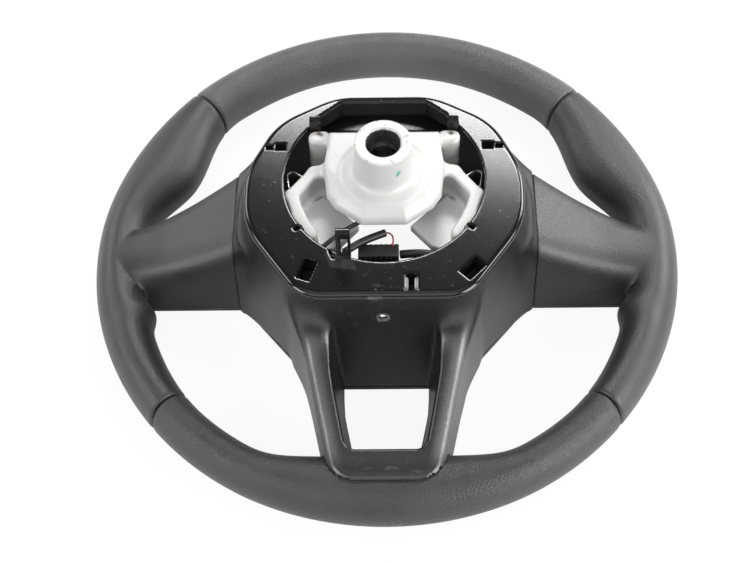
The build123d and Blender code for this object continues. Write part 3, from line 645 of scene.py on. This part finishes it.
def noise(tree, place, scale, detail):
    """Noise value at a place, at a scale that is a socket or a number."""
    made = new_node(tree, "ShaderNodeTexNoise", {"Detail": detail, "Roughness": 0.6})
    tree.links.new(place, made.inputs["Vector"])
    if isinstance(scale, bpy.types.NodeSocket):
        tree.links.new(scale, made.inputs["Scale"])
    else:
        made.inputs["Scale"].default_value = scale
    return made.outputs[0]


def ramp(tree, value, low, high):
    """Value run from nought at low to one at high."""
    made = new_node(tree, "ShaderNodeMapRange", {"From Min": low, "From Max": high}, clamp=True)
    tree.links.new(value, made.inputs["Value"])
    return made.outputs[0]


def make_grain():
    """Leather grain: raised cells with creases between them, broken up by fine noise."""
    tree, scale, place, result = new_effect("leather grain", 620)
    cells = new_node(tree, "ShaderNodeTexVoronoi", feature="DISTANCE_TO_EDGE")
    tree.links.new(place, cells.inputs["Vector"])
    tree.links.new(scale, cells.inputs["Scale"])
    raised = ramp(tree, cells.outputs["Distance"], 0.0, 0.32)
    tree.links.new(math_node(tree, "MULTIPLY_ADD", noise(tree, place, 1900, 3), 0.5, raised), result)
    return tree


def make_cloud():
    """Broad uneven patches."""
    tree, scale, place, result = new_effect("cloud", 22)
    tree.links.new(ramp(tree, noise(tree, place, scale, 5), 0.36, 0.68), result)
    return tree


def make_specks():
    """Scattered specks, thicker in broad patches."""
    tree, scale, place, result = new_effect("specks", 420)
    cells = new_node(tree, "ShaderNodeTexVoronoi", feature="F1")
    tree.links.new(place, cells.inputs["Vector"])
    tree.links.new(scale, cells.inputs["Scale"])
    near = ramp(tree, cells.outputs["Distance"], 0.30, 0.12)
    picked = ramp(tree, noise(tree, place, 150, 4), 0.54, 0.72)
    tree.links.new(math_node(tree, "MULTIPLY", near, picked), result)
    return tree


def make_scuffs():
    """Fine scratches: noise drawn out along one way, in patches."""
    tree, scale, place, result = new_effect("scuffs", 260)
    stretch = new_node(tree, "ShaderNodeMapping", {"Scale": (0.25, 1.0, 1.0), "Rotation": (0.0, 0.0, 0.5)})
    tree.links.new(place, stretch.inputs["Vector"])
    lines = ramp(tree, noise(tree, stretch.outputs[0], scale, 6), 0.60, 0.70)
    patch = ramp(tree, noise(tree, place, 30, 3), 0.45, 0.65)
    tree.links.new(math_node(tree, "MULTIPLY", lines, patch), result)
    return tree


def make_skin():
    """Fine bumpy skin of a casting or a moulding."""
    tree, scale, place, result = new_effect("skin", 700)
    tree.links.new(noise(tree, place, scale, 4), result)
    return tree


GRAIN, CLOUD, SPECKS, SCUFFS, SKIN = make_grain(), make_cloud(), make_specks(), make_scuffs(), make_skin()


def add_effect(tree, effect, scale):
    """Shared effect put into a material."""
    made = new_node(tree, "ShaderNodeGroup", node_tree=effect)
    made.inputs["Scale"].default_value = scale
    return made.outputs["Amount"]


def mix_colour(tree, amount, first, second):
    """Colour between two, each a socket or a value."""
    made = new_node(tree, "ShaderNodeMix", data_type="RGBA")
    tree.links.new(amount, made.inputs[0])
    for socket, value in ((made.inputs[6], first), (made.inputs[7], second)):
        if isinstance(value, bpy.types.NodeSocket):
            tree.links.new(value, socket)
        else:
            socket.default_value = value
    return made.outputs[2]


def surface(name, colour, marked, mark, rough, bump=None, metallic=0.0, stains=(), gloss=0.5, sheen=0.0):
    """Principled surface: colour and roughness go from plain to marked by an effect, with a bump from
    another. Stains are further colours laid on by a mesh's own marks; some of them are painted light."""
    made = bpy.data.materials.new(name)
    made.use_nodes = True
    tree = made.node_tree
    shader = tree.nodes["Principled BSDF"]
    shader.inputs["Metallic"].default_value = metallic
    shader.inputs["Specular IOR Level"].default_value = gloss
    shader.inputs["Sheen Weight"].default_value = sheen
    shader.inputs["Sheen Roughness"].default_value = 0.4
    amount = add_effect(tree, *mark)
    tint = mix_colour(tree, amount, (*colour, 1), (*marked, 1))
    for label, stain, effect in stains:
        laid = new_node(tree, "ShaderNodeAttribute", attribute_name=label).outputs["Fac"]
        if effect:
            laid = math_node(tree, "MULTIPLY", laid, add_effect(tree, *effect))
        tint = mix_colour(tree, laid, tint, (*stain, 1))
    tree.links.new(tint, shader.inputs["Base Color"])
    rough_run = new_node(tree, "ShaderNodeMapRange", {"To Min": rough[0], "To Max": rough[1]})
    tree.links.new(amount, rough_run.inputs["Value"])
    tree.links.new(rough_run.outputs[0], shader.inputs["Roughness"])
    if bump:
        effect, scale, strength, height = bump
        raised = new_node(tree, "ShaderNodeBump", {"Strength": strength, "Distance": height})
        tree.links.new(add_effect(tree, effect, scale), raised.inputs["Height"])
        tree.links.new(raised.outputs[0], shader.inputs["Normal"])
    return made


# Surfaces: plain colour, marked colour, effect that marks, range of roughness, bump
leather = surface(
    "grained leather", (0.014, 0.0133, 0.0137), (0.021, 0.0203, 0.0207), (CLOUD, 30), (0.44, 0.52),
    (GRAIN, 620, 0.42, 0.0004), gloss=0.64, sheen=0.06,
)
# Top panel's leather: base colour about three times lighter than the other leather, painted light that
# stands in for the light falling on the rim's top
top_leather_painted_lighter = surface(
    "top leather painted lighter", (0.046, 0.0445, 0.0455), (0.064, 0.062, 0.063), (CLOUD, 30), (0.44, 0.52),
    (GRAIN, 620, 0.42, 0.0004), gloss=0.72, sheen=0.14,
)
smooth_leather = surface(
    "smooth leather", (0.0115, 0.0108, 0.011), (0.018, 0.017, 0.0173), (CLOUD, 26), (0.42, 0.49),
    (GRAIN, 760, 0.26, 0.0003), gloss=0.72, sheen=0.05,
)
foam = surface(
    "foam", (0.10, 0.10, 0.10), (0.16, 0.16, 0.15), (CLOUD, 60), (0.8, 0.9), (SKIN, 900, 0.4, 0.0004),
)
# Light specks laid on the cover: scuffs and dust, and on the legs also painted sparkle standing in for the
# grain's highlights
DUST_AND_SPARKLE = (0.16, 0.155, 0.155)
WEAR_AND_SPARKLE = (("scuff", DUST_AND_SPARKLE, (SCUFFS, 180)), ("dust_and_sparkle", DUST_AND_SPARKLE, (SPECKS, 900)))
# Painted glint: light grey laid on the catches and round the screw hole, standing in for their highlights
PAINTED_GLINT = ("painted_glint", (0.24, 0.235, 0.23), None)
ring_plastic = surface(
    "ring plastic", (0.006, 0.0053, 0.0056), (0.05, 0.05, 0.05), (SPECKS, 420), (0.13, 0.34),
    (SKIN, 1100, 0.12, 0.0002), stains=(*WEAR_AND_SPARKLE, ("tab", (0.024, 0.022, 0.022), None), PAINTED_GLINT),
)
skirt_plastic = surface(
    "skirt plastic", (0.007, 0.0062, 0.0065), (0.05, 0.05, 0.05), (SPECKS, 420), (0.30, 0.46),
    (SKIN, 1300, 0.30, 0.0003), gloss=0.7,
    # The last stain is a painted highlight along the legs' outer edges, a light grey broken up by noise
    stains=(*WEAR_AND_SPARKLE, PAINTED_GLINT, ("edge_sheen", (0.19, 0.187, 0.187), (SKIN, 1300))),
)
casting_metal = surface(
    "cast metal", (0.49, 0.488, 0.477), (0.43, 0.42, 0.41), (SCUFFS, 240), (0.42, 0.60),
    (SKIN, 420, 0.30, 0.0004), metallic=0.1,
    stains=(
        # bare: pale colour laid on the casting's low parts, painted light that stands in for light on the
        # shaded webs and arms
        ("bare", (0.76, 0.755, 0.74), None), ("stain", (0.10, 0.085, 0.075), None),
        ("grime", (0.04, 0.035, 0.03), (SPECKS, 620)), ("paint", (0.0, 0.30, 0.17), None),
    ),
)
lead_black = surface(
    "black sheath", (0.020, 0.020, 0.021), (0.07, 0.07, 0.07), (SPECKS, 500), (0.40, 0.6),
    (SKIN, 600, 0.4, 0.0002),
)

# CAD nodes that show as they are: each slot's finish, then each node's slot
SLOT_FINISHES = {
    "hub_steel": surface(
        "hub steel", (0.30, 0.29, 0.28), (0.08, 0.075, 0.07), (CLOUD, 160), (0.28, 0.5),
        (SKIN, 800, 0.3, 0.0003), metallic=0.9,
    ),
    "screw_steel": surface(
        "screw steel", (0.45, 0.45, 0.46), (0.2, 0.2, 0.2), (SCUFFS, 400), (0.3, 0.5),
        (SKIN, 900, 0.2, 0.0001), metallic=1.0,
    ),
    "spring_steel": surface(
        "spring steel", (0.50, 0.49, 0.48), (0.25, 0.24, 0.23), (CLOUD, 200), (0.25, 0.4),
        (SKIN, 900, 0.2, 0.0001), metallic=1.0,
    ),
    "bezel_plastic": surface(
        "bezel plastic", (0.026, 0.025, 0.026), (0.10, 0.10, 0.10), (SCUFFS, 200), (0.42, 0.55),
        (SKIN, 1000, 0.2, 0.0002),
    ),
    "key_plastic": surface(
        "key plastic", (0.030, 0.030, 0.032), (0.07, 0.07, 0.07), (SCUFFS, 300), (0.45, 0.6),
        (SKIN, 1400, 0.3, 0.0001),
    ),
    "switch_plastic": surface(
        "switch plastic", (0.05, 0.05, 0.05), (0.12, 0.12, 0.12), (CLOUD, 80), (0.5, 0.65),
        (SKIN, 900, 0.3, 0.0002),
    ),
    "circuit_board": surface(
        "circuit board", (0.02, 0.09, 0.035), (0.03, 0.14, 0.05), (CLOUD, 220), (0.35, 0.5),
        (SCUFFS, 300, 0.3, 0.0001),
    ),
    "plug_plastic": surface(
        "plug plastic", (0.025, 0.025, 0.026), (0.09, 0.09, 0.09), (SCUFFS, 300), (0.4, 0.55),
        (SKIN, 900, 0.3, 0.0002),
    ),
    "lead_red": surface(
        "red wire", (0.42, 0.03, 0.03), (0.25, 0.02, 0.02), (CLOUD, 300), (0.35, 0.5),
        (SKIN, 900, 0.2, 0.0001),
    ),
}
NODE_SLOTS = {
    "hub_insert": "hub_steel", "front_bezel": "bezel_plastic",
    "cover_screws": "screw_steel", "switch_screws": "screw_steel", "connector": "plug_plastic",
    "red_wire": "lead_red",
}
for side in ("left", "right"):
    NODE_SLOTS[f"retaining_spring_{side}"] = "spring_steel"
    NODE_SLOTS[f"switch_housing_{side}"] = "switch_plastic"
    NODE_SLOTS[f"switch_board_{side}"] = "circuit_board"
    for level in ("lower", "middle", "upper"):
        NODE_SLOTS[f"key_{side}_{level}"] = "key_plastic"
for name, slot in NODE_SLOTS.items():
    nodes[name].data.materials.clear()
    nodes[name].data.materials.append(SLOT_FINISHES[slot])


# Leather panels and foam


def rim_panel(name, start, end, node, finish, slot, depth=0.0):
    """Leather or foam over part of the rim: the ellipse swept round Z, drawn in along a quarter circle at
    both seams and set in by a depth all round."""
    roll = np.linspace(0, pi / 2, 9)
    near = SEAM_HALF_GAP + SEAM_ROLL * (1 - np.cos(roll))
    drawn_in = SEAM_ROLL * (1 - np.sin(roll))
    edge = np.degrees(near / RIM_R)
    middle = np.linspace(start + edge[-1], end - edge[-1], 181)[1:-1]
    places = [[start + edge[0]], start + edge, middle, end - edge[::-1], [end - edge[0]]]
    angles = np.radians(np.concatenate(places))
    insets = [[SEAM_DEPTH], drawn_in, np.zeros(len(middle)), drawn_in[::-1], [SEAM_DEPTH]]
    inset = depth + np.concatenate(insets)
    turn = np.linspace(0, 2 * pi, 96, endpoint=False)
    swell = rim_swell(np.degrees(np.arcsin(np.sin(angles))))
    away = (RIM_R - swell / 2)[:, None] + np.outer(RIM_HALF_WIDTH + swell / 2 - inset, np.cos(turn))
    height = RIM_HALF_DEPTH + np.outer(RIM_HALF_DEPTH - inset, np.sin(turn))
    rows = np.stack([away * np.cos(angles)[:, None], away * np.sin(angles)[:, None], height], -1)
    points, quads = grid_mesh(rows)
    add_piece(name, points, quads[:, ::-1], finish, slot, node)


MIRROR = (-1, 1, 1)
LEFT_LOWER, RIGHT_LOWER = 180 - SEAM_LOWER, 360 + SEAM_LOWER
# The top panel takes the leather painted lighter for the light on the rim's top
rim_panel("top_leather", SEAM_UPPER, 180 - SEAM_UPPER, "leather_top", top_leather_painted_lighter, "leather")
rim_panel("bottom_leather", LEFT_LOWER, RIGHT_LOWER, "leather_bottom", leather, "leather")
rim_panel("upper_foam", SEAM_LOWER, LEFT_LOWER, "rim_foam", foam, "foam", FOAM_INSET)
rim_panel("lower_foam", LEFT_LOWER, RIGHT_LOWER, "rim_foam", foam, "foam", FOAM_INSET)
foam_points, foam_quads = level_mesh(side_foam_field, (92, -100, 1), (188, 100, 64), 2.0)
add_piece("right_foam", foam_points, foam_quads, foam, "foam", "rim_foam")
add_piece("left_foam", foam_points * MIRROR, foam_quads[:, ::-1], foam, "foam", "rim_foam")
side_points, side_quads = level_mesh(side_leather_field, (91, -126, -1), (188, 138, 66), 1.0)
add_piece("right_leather", side_points, side_quads, smooth_leather, "leather", "leather_right")
left_points, left_quads = side_points * MIRROR, side_quads[:, ::-1]
add_piece("left_leather", left_points, left_quads, smooth_leather, "leather", "leather_left")

# Rear cover

SCUFFED = [
    (0, -153, 40), (12, -152, 40), (-14, -155, 39), (-38, -115, 56), (37, -112, 57), (30, -150, 41),
    (0, -76, 100),
]
SCUFF_SIZE = 26
DUSTY_SIZE = 40
# Specks on the legs: dust, and painted sparkle standing in for the highlights of their grain
LEG_DUST_AND_SPARKLE = 0.7
LEG_SPECKS_FROM, LEG_SPECKS_RUN = -88, 10
TAB_OUTLINE = [(-33.9, -53.8), (-30.8, -63.5), (-15.3, -65.7), (-18.3, -58.8)]
# Where the painted glints lie: the clip's walls, the pegs' tops and a ring round the screw hole
TAB_ABOVE = 99
GLINT_CLIP_X, GLINT_CLIP_Y = 3.4, 4.3
GLINT_CLIP_LOW, GLINT_CLIP_HIGH = 93, 98.1
GLINT_PEG_R = PEG_R + 0.2
GLINT_PEG_LOW, GLINT_PEG_HIGH = 92, 95.5
GLINT_HOLE = 0.4
GLINT_HOLE_R, GLINT_HOLE_HALF_WIDTH = 3.0, 0.7
# Painted highlight along the legs' outer edges: inset, reach, depth below the rear face, start and end along
# Y, and its strength on the left, where less light falls
EDGE_SHEEN_INSET, EDGE_SHEEN_REACH = 2.5, 5
EDGE_SHEEN_DEPTH = (9, 4)
EDGE_SHEEN_START = (-88, -104)
EDGE_SHEEN_END = (-163, -148)
EDGE_SHEEN_LEFT = 0.75


def cover_marks(points):
    """Marks of the rear cover at its points: scuffs in round patches, dust on the legs with painted sparkle,
    and dust in one patch, the tab by the bracket laid lighter, painted glints on the catches and round the
    screw hole, and a painted highlight along the legs' outer edges, weaker on the left."""
    x, y, z = points.T
    legs = np.clip((LEG_SPECKS_FROM - y) / LEG_SPECKS_RUN, 0, 1)
    tab = convex_field(x, y, TAB_OUTLINE)
    # Painted glints: the clip's walls, the pegs and a ring round the screw hole are laid light grey
    in_clip = (abs(x - CLIP_AT[0]) < GLINT_CLIP_X) & (abs(y - CLIP_AT[1]) < GLINT_CLIP_Y)
    in_clip = in_clip & (z > GLINT_CLIP_LOW) & (z < GLINT_CLIP_HIGH)
    from_peg = reduce(np.minimum, [np.hypot(x - at[0], y - at[1]) for at in PEGS])
    in_peg = (from_peg < GLINT_PEG_R) & (z > GLINT_PEG_LOW) & (z < GLINT_PEG_HIGH)
    from_hole = np.hypot(x - SCREW_HOLE_X, z - SCREW_HOLE_Z)
    round_hole = (abs(from_hole - GLINT_HOLE_R) < GLINT_HOLE_HALF_WIDTH) & (y < LEG_TOP_Y)
    # The legs' outer edges laid light: a painted highlight
    from_edge = abs(leg_outer(y) - abs(x) - EDGE_SHEEN_INSET)
    edge_sheen = np.clip(1.4 - from_edge / EDGE_SHEEN_REACH, 0, 1) * ease(leg_rear(y) - z, *EDGE_SHEEN_DEPTH)
    edge_sheen = edge_sheen * ease(y, *EDGE_SHEEN_START) * ease(y, *EDGE_SHEEN_END)
    return {
        "scuff": spots(points, SCUFFED, SCUFF_SIZE),
        "dust_and_sparkle": np.maximum(LEG_DUST_AND_SPARKLE * legs, spots(points, SCUFFED[-1:], DUSTY_SIZE)),
        "tab": np.clip(0.5 - tab, 0, 1) * (z > TAB_ABOVE),
        "painted_glint": np.maximum(in_clip | in_peg, GLINT_HOLE * round_hole),
        "edge_sheen": edge_sheen * np.where(x > 0, 1.0, EDGE_SHEEN_LEFT),
    }


for name, field, low, high, step, finish in (
    ("cover_ring", ring_field, (-88, -88, 92), (88, 70, 124), 0.75, ring_plastic),
    ("cover_skirt", skirt_field, (-95, -171, 6), (95, 76, 101), 1.42, skirt_plastic),
):
    points, quads = level_mesh(field, low, high, step)
    add_piece(name, points, quads, finish, "cover_plastic", "rear_cover", marks=cover_marks(points))

# Casting: the middle, the arms to the rim core, and the core

POST_STAINS = [(-39.8, 33.8, 100.5), (-38.4, 32.9, 100.5), (40.8, 33.2, 100.5)]
POST_STAIN_SIZE = 2.0
BOSS_STAINS = 12
BOSS_STAIN = 0.6
BOSS_STAIN_SIZE = 1.0
BOSS_STAIN_NEAR, BOSS_STAIN_FAR = 12.6, 16.9
PAINT_DAB = [(8.2, -15.0, 121.6), (8.7, -14.6, 122.8), (9.2, -14.3, 124.0)]
PAINT_SIZE = 1.5
# Heights over which the casting turns paler downwards: painted light for its shaded low parts
PAINTED_LIGHT_FROM, PAINTED_LIGHT_TO = 86, 79
hub_points, hub_quads = level_mesh(casting_field, (-61, -43, 66), (61, 39, 136), 0.7)
rng = np.random.default_rng(5)
turn = rng.uniform(0, 2 * pi, BOSS_STAINS)
reach = rng.uniform(BOSS_STAIN_NEAR, BOSS_STAIN_FAR, BOSS_STAINS)
on_top = np.full(BOSS_STAINS, HUB_TOP - 0.1)
boss_places = np.stack([reach * np.cos(turn), reach * np.sin(turn), on_top], 1)
post_stain = spots(hub_points, POST_STAINS, POST_STAIN_SIZE)
boss_stain = spots(hub_points, boss_places, BOSS_STAIN_SIZE)
hub_marks = {
    "stain": np.maximum(post_stain, BOSS_STAIN * boss_stain),
    "grime": np.clip((hub_points[:, 2] - HUB_TOP + 1) * 2, 0, 1),
    "paint": spots(hub_points, PAINT_DAB, PAINT_SIZE),
    # Painted light: paler below the plate
    "bare": ease(hub_points[:, 2], PAINTED_LIGHT_FROM, PAINTED_LIGHT_TO),
}
add_piece("hub_casting", hub_points, hub_quads, casting_metal, "casting", "armature", marks=hub_marks)


def arm_rows(stations):
    """Rounded bar: a squared-off oval whose place, height, width, depth and middle run through stations."""
    table = np.array(stations, float)
    along = np.linspace(0, 1, 60)
    at = np.linspace(0, 1, len(table))
    place, height, width, depth, middle = (np.interp(along, at, column) for column in table.T)
    turn = np.linspace(0, 2 * pi, 40, endpoint=False)
    across = np.sign(np.cos(turn)) * abs(np.cos(turn)) ** 0.4
    deep = np.sign(np.sin(turn)) * abs(np.sin(turn)) ** 0.4
    flank = middle[:, None] + np.outer(width / 2, across)
    rise = height[:, None] + np.outer(depth / 2, deep)
    return np.broadcast_to(place[:, None], flank.shape), flank, rise


SIDE_ARM = (
    (45, 75, 26, 6, -20), (75, 58, 28, 8, -6), (100, 42, 28, 9, 0), (150, 22, 20, 8, -3),
    (169, 18, 16, 8, -3),
)
LOWER_ARM = ((-30, 75, 14, 6, 38), (-84, 44, 8, 8, 39.5), (-125, 28, 7, 8, 33), (-168, 18, 7, 8, 26))
for word, side in (("right", 1), ("left", -1)):
    place, flank, rise = arm_rows(SIDE_ARM)
    points, quads = grid_mesh(np.stack([side * place, flank, rise], -1))
    add_piece(f"{word}_arm", points, quads[:, ::-side], casting_metal, "casting", "armature")
    place, flank, rise = arm_rows(LOWER_ARM)
    points, quads = grid_mesh(np.stack([side * flank, place, rise], -1))
    add_piece(f"lower_{word}_arm", points, quads[:, ::side], casting_metal, "casting", "armature")

ring = np.linspace(0, 2 * pi, 181)
turn = np.linspace(0, 2 * pi, 24, endpoint=False)
away = RIM_R + CORE_R * np.cos(turn)
height = np.broadcast_to(RIM_HALF_DEPTH + CORE_R * np.sin(turn), (len(ring), len(turn)))
core_rows = np.stack([np.outer(np.cos(ring), away), np.outer(np.sin(ring), away), height], -1)
core_points, core_quads = grid_mesh(core_rows)
add_piece("rim_core_ring", core_points, core_quads[:, ::-1], casting_metal, "casting", "rim_core")

# Leads


def lead(name, points, radius, finish, node):
    """Wire or sheath along a quadratic spline with its route as control points."""
    curve = bpy.data.curves.new(name, "CURVE")
    curve.dimensions = "3D"
    curve.bevel_depth = radius * MM
    curve.bevel_resolution = 6
    curve.resolution_u = 16
    curve.use_fill_caps = True
    spline = curve.splines.new("NURBS")
    spline.points.add(len(points) - 1)
    for point, place in zip(spline.points, points):
        point.co = (*[c * MM for c in place], 1)
    spline.order_u = 3
    spline.use_endpoint_u = True
    curve.materials.append(finish)
    piece = bpy.data.objects.new(name, curve)
    scene.collection.objects.link(piece)
    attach(piece, "wheel")
    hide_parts(node)
    return piece


HARNESS_RIGHT = (
    (9.4, -42.5, 81), (22, -43, 84), (38, -46, 82), (54, -44, 68), (70, -34, 46), (84, -20, 30),
    (98, -10, 24), (110, -4, 21.5),
)
HARNESS_LEFT = (
    (-110, -4, 20.3), (-98, -10, 23), (-84, -20, 30), (-70, -34, 46), (-54, -44, 68), (-44, -44, 80),
    (-34, -37, 85.5), (-24, -29, 87), (-13, -24, 90), (-2, -20, 94.2),
)
SHEATH = ((-51, -48, 73), (-38, -54, 84), (-25, -47, 89), (-12, -37, 88.5), (0.5, -31, 87))
for name, points, radius, node, far_end in (
    ("right_sheath", HARNESS_RIGHT, 2.6, "harness_right", "object"),
    ("left_lead", HARNESS_LEFT, 1.4, "harness_left", "object"),
    ("open_sheath", SHEATH, 2.3, "lead_sheath", "bare"),
):
    piece = lead(name, points, radius, lead_black, node)

# Floor, light and camera: the floor glows white to the camera and is clear from below

GLOW_SEEN, GLOW_MIRRORED, GLOW_BELOW = 0.92, 0.1, 0.5
bpy.ops.mesh.primitive_plane_add(size=8)
floor = bpy.context.object
floor.name = "floor"
paper = bpy.data.materials.new("white floor")
paper.use_nodes = True
tree = paper.node_tree
tree.nodes["Principled BSDF"].inputs["Base Color"].default_value = (0.85, 0.85, 0.85, 1)
tree.nodes["Principled BSDF"].inputs["Roughness"].default_value = 0.9
glow = new_node(tree, "ShaderNodeEmission", {"Color": (1, 1, 1, 1), "Strength": 1.0})
blend = new_node(tree, "ShaderNodeMixShader")
rays = tree.nodes.new("ShaderNodeLightPath")
mirrored = math_node(tree, "MULTIPLY", rays.outputs["Is Glossy Ray"], GLOW_MIRRORED)
share = math_node(tree, "MULTIPLY_ADD", rays.outputs["Is Camera Ray"], GLOW_SEEN, mirrored)
share = math_node(tree, "MULTIPLY_ADD", rays.outputs["Transparent Depth"], GLOW_BELOW, share)
tree.links.new(share, blend.inputs[0])
tree.links.new(tree.nodes["Principled BSDF"].outputs[0], blend.inputs[1])
tree.links.new(glow.outputs[0], blend.inputs[2])
below = new_node(tree, "ShaderNodeMixShader")
tree.links.new(tree.nodes.new("ShaderNodeNewGeometry").outputs["Backfacing"], below.inputs[0])
tree.links.new(blend.outputs[0], below.inputs[1])
tree.links.new(tree.nodes.new("ShaderNodeBsdfTransparent").outputs[0], below.inputs[2])
tree.links.new(below.outputs[0], tree.nodes["Material Output"].inputs["Surface"])
floor.data.materials.append(paper)


def placed(right, up, back, place):
    """Matrix with three axes and a place as its columns."""
    return Matrix([[*row] for row in np.column_stack([right, up, back, place])] + [[0, 0, 0, 1]])


def panel(name, place, aim, size, power, turn=0):
    """Soft rectangular light that faces its aim, turned about that line by degrees."""
    light = bpy.data.lights.new(name, "AREA")
    light.shape = "RECTANGLE"
    light.size, light.size_y = size
    light.energy = power
    made = bpy.data.objects.new(name, light)
    scene.collection.objects.link(made)
    back = (np.array(place) - np.array(aim)).astype(float)
    back /= np.linalg.norm(back)
    level = np.cross((0, 1, 0) if abs(back[1]) < 0.9 else (0, 0, 1), back)
    level /= np.linalg.norm(level)
    steep = np.cross(back, level)
    right = cos(radians(turn)) * level + sin(radians(turn)) * steep
    up = cos(radians(turn)) * steep - sin(radians(turn)) * level
    made.matrix_world = placed(right, up, back, place)


panel("rear panel", (0.1, 1.335, 1.5), (0.1, 1.335, 0), (0.8, 0.4), 24, -14)
panel("right panel", (1.9, 1.5, 1.3), (0, 0, 0), (1.2, 1.0), 50)
panel("left panel", (-1.9, 1.5, 1.3), (0, 0, 0), (1.2, 1.0), 21)
panel("overhead panel", (0.0, -0.3, 1.7), (0, -0.3, 0), (1.6, 1.0), 4)
panel("front fill", (-0.2, -1.8, 1.5), (0, 0, 0), (2.4, 1.4), 17)
panel("left edge panel", (-1.6, 0.0, 0.95), (0, -0.1, 0.05), (0.5, 0.5), 6)
panel("right edge panel", (1.6, 0.0, 0.95), (0, -0.1, 0.05), (0.5, 0.5), 8)
panel("front right panel", (1.6, -1.1, 0.75), (0, 0, 0.05), (1.0, 1.2), 42)
panel("front left panel", (-1.5, -1.0, 0.95), (0, 0, 0.05), (0.8, 0.9), 19)

# World: dim to the object, white to the camera
WORLD_LIGHT = 0.12
world = bpy.data.worlds.new("studio")
scene.world = world
world.use_nodes = True
tree = world.node_tree
tree.nodes["Background"].inputs["Color"].default_value = (1, 1, 1, 1)
rays = tree.nodes.new("ShaderNodeLightPath")
seen = math_node(tree, "MULTIPLY_ADD", rays.outputs["Is Camera Ray"], 1 - WORLD_LIGHT, WORLD_LIGHT)
tree.links.new(seen, tree.nodes["Background"].inputs["Strength"])

# Camera, in metres from the middle of the rim
ELEVATION, AZIMUTH, ROLL = radians(55.998), radians(1.465), radians(-1.722)
DISTANCE = 0.9
SENSOR_WIDTH, FOCAL_LENGTH = 36, 66.94
SHIFT_X, SHIFT_Y = -0.01516, -0.03515
back = np.array([sin(AZIMUTH) * cos(ELEVATION), -cos(AZIMUTH) * cos(ELEVATION), sin(ELEVATION)])
level = np.array([cos(AZIMUTH), sin(AZIMUTH), 0])
tilt = np.cross(back, level)
across = cos(ROLL) * level + sin(ROLL) * tilt
upward = -sin(ROLL) * level + cos(ROLL) * tilt
lens = bpy.data.cameras.new("camera")
lens.sensor_width = SENSOR_WIDTH
lens.lens = FOCAL_LENGTH
lens.shift_x = SHIFT_X
lens.shift_y = SHIFT_Y
camera = bpy.data.objects.new("camera", lens)
scene.collection.objects.link(camera)
middle_of_rim = np.array([0, 0, RIM_HALF_DEPTH * MM])
camera.matrix_world = placed(across, upward, back, back * DISTANCE + middle_of_rim)
scene.camera = camera
scene.view_settings.view_transform = "Standard"
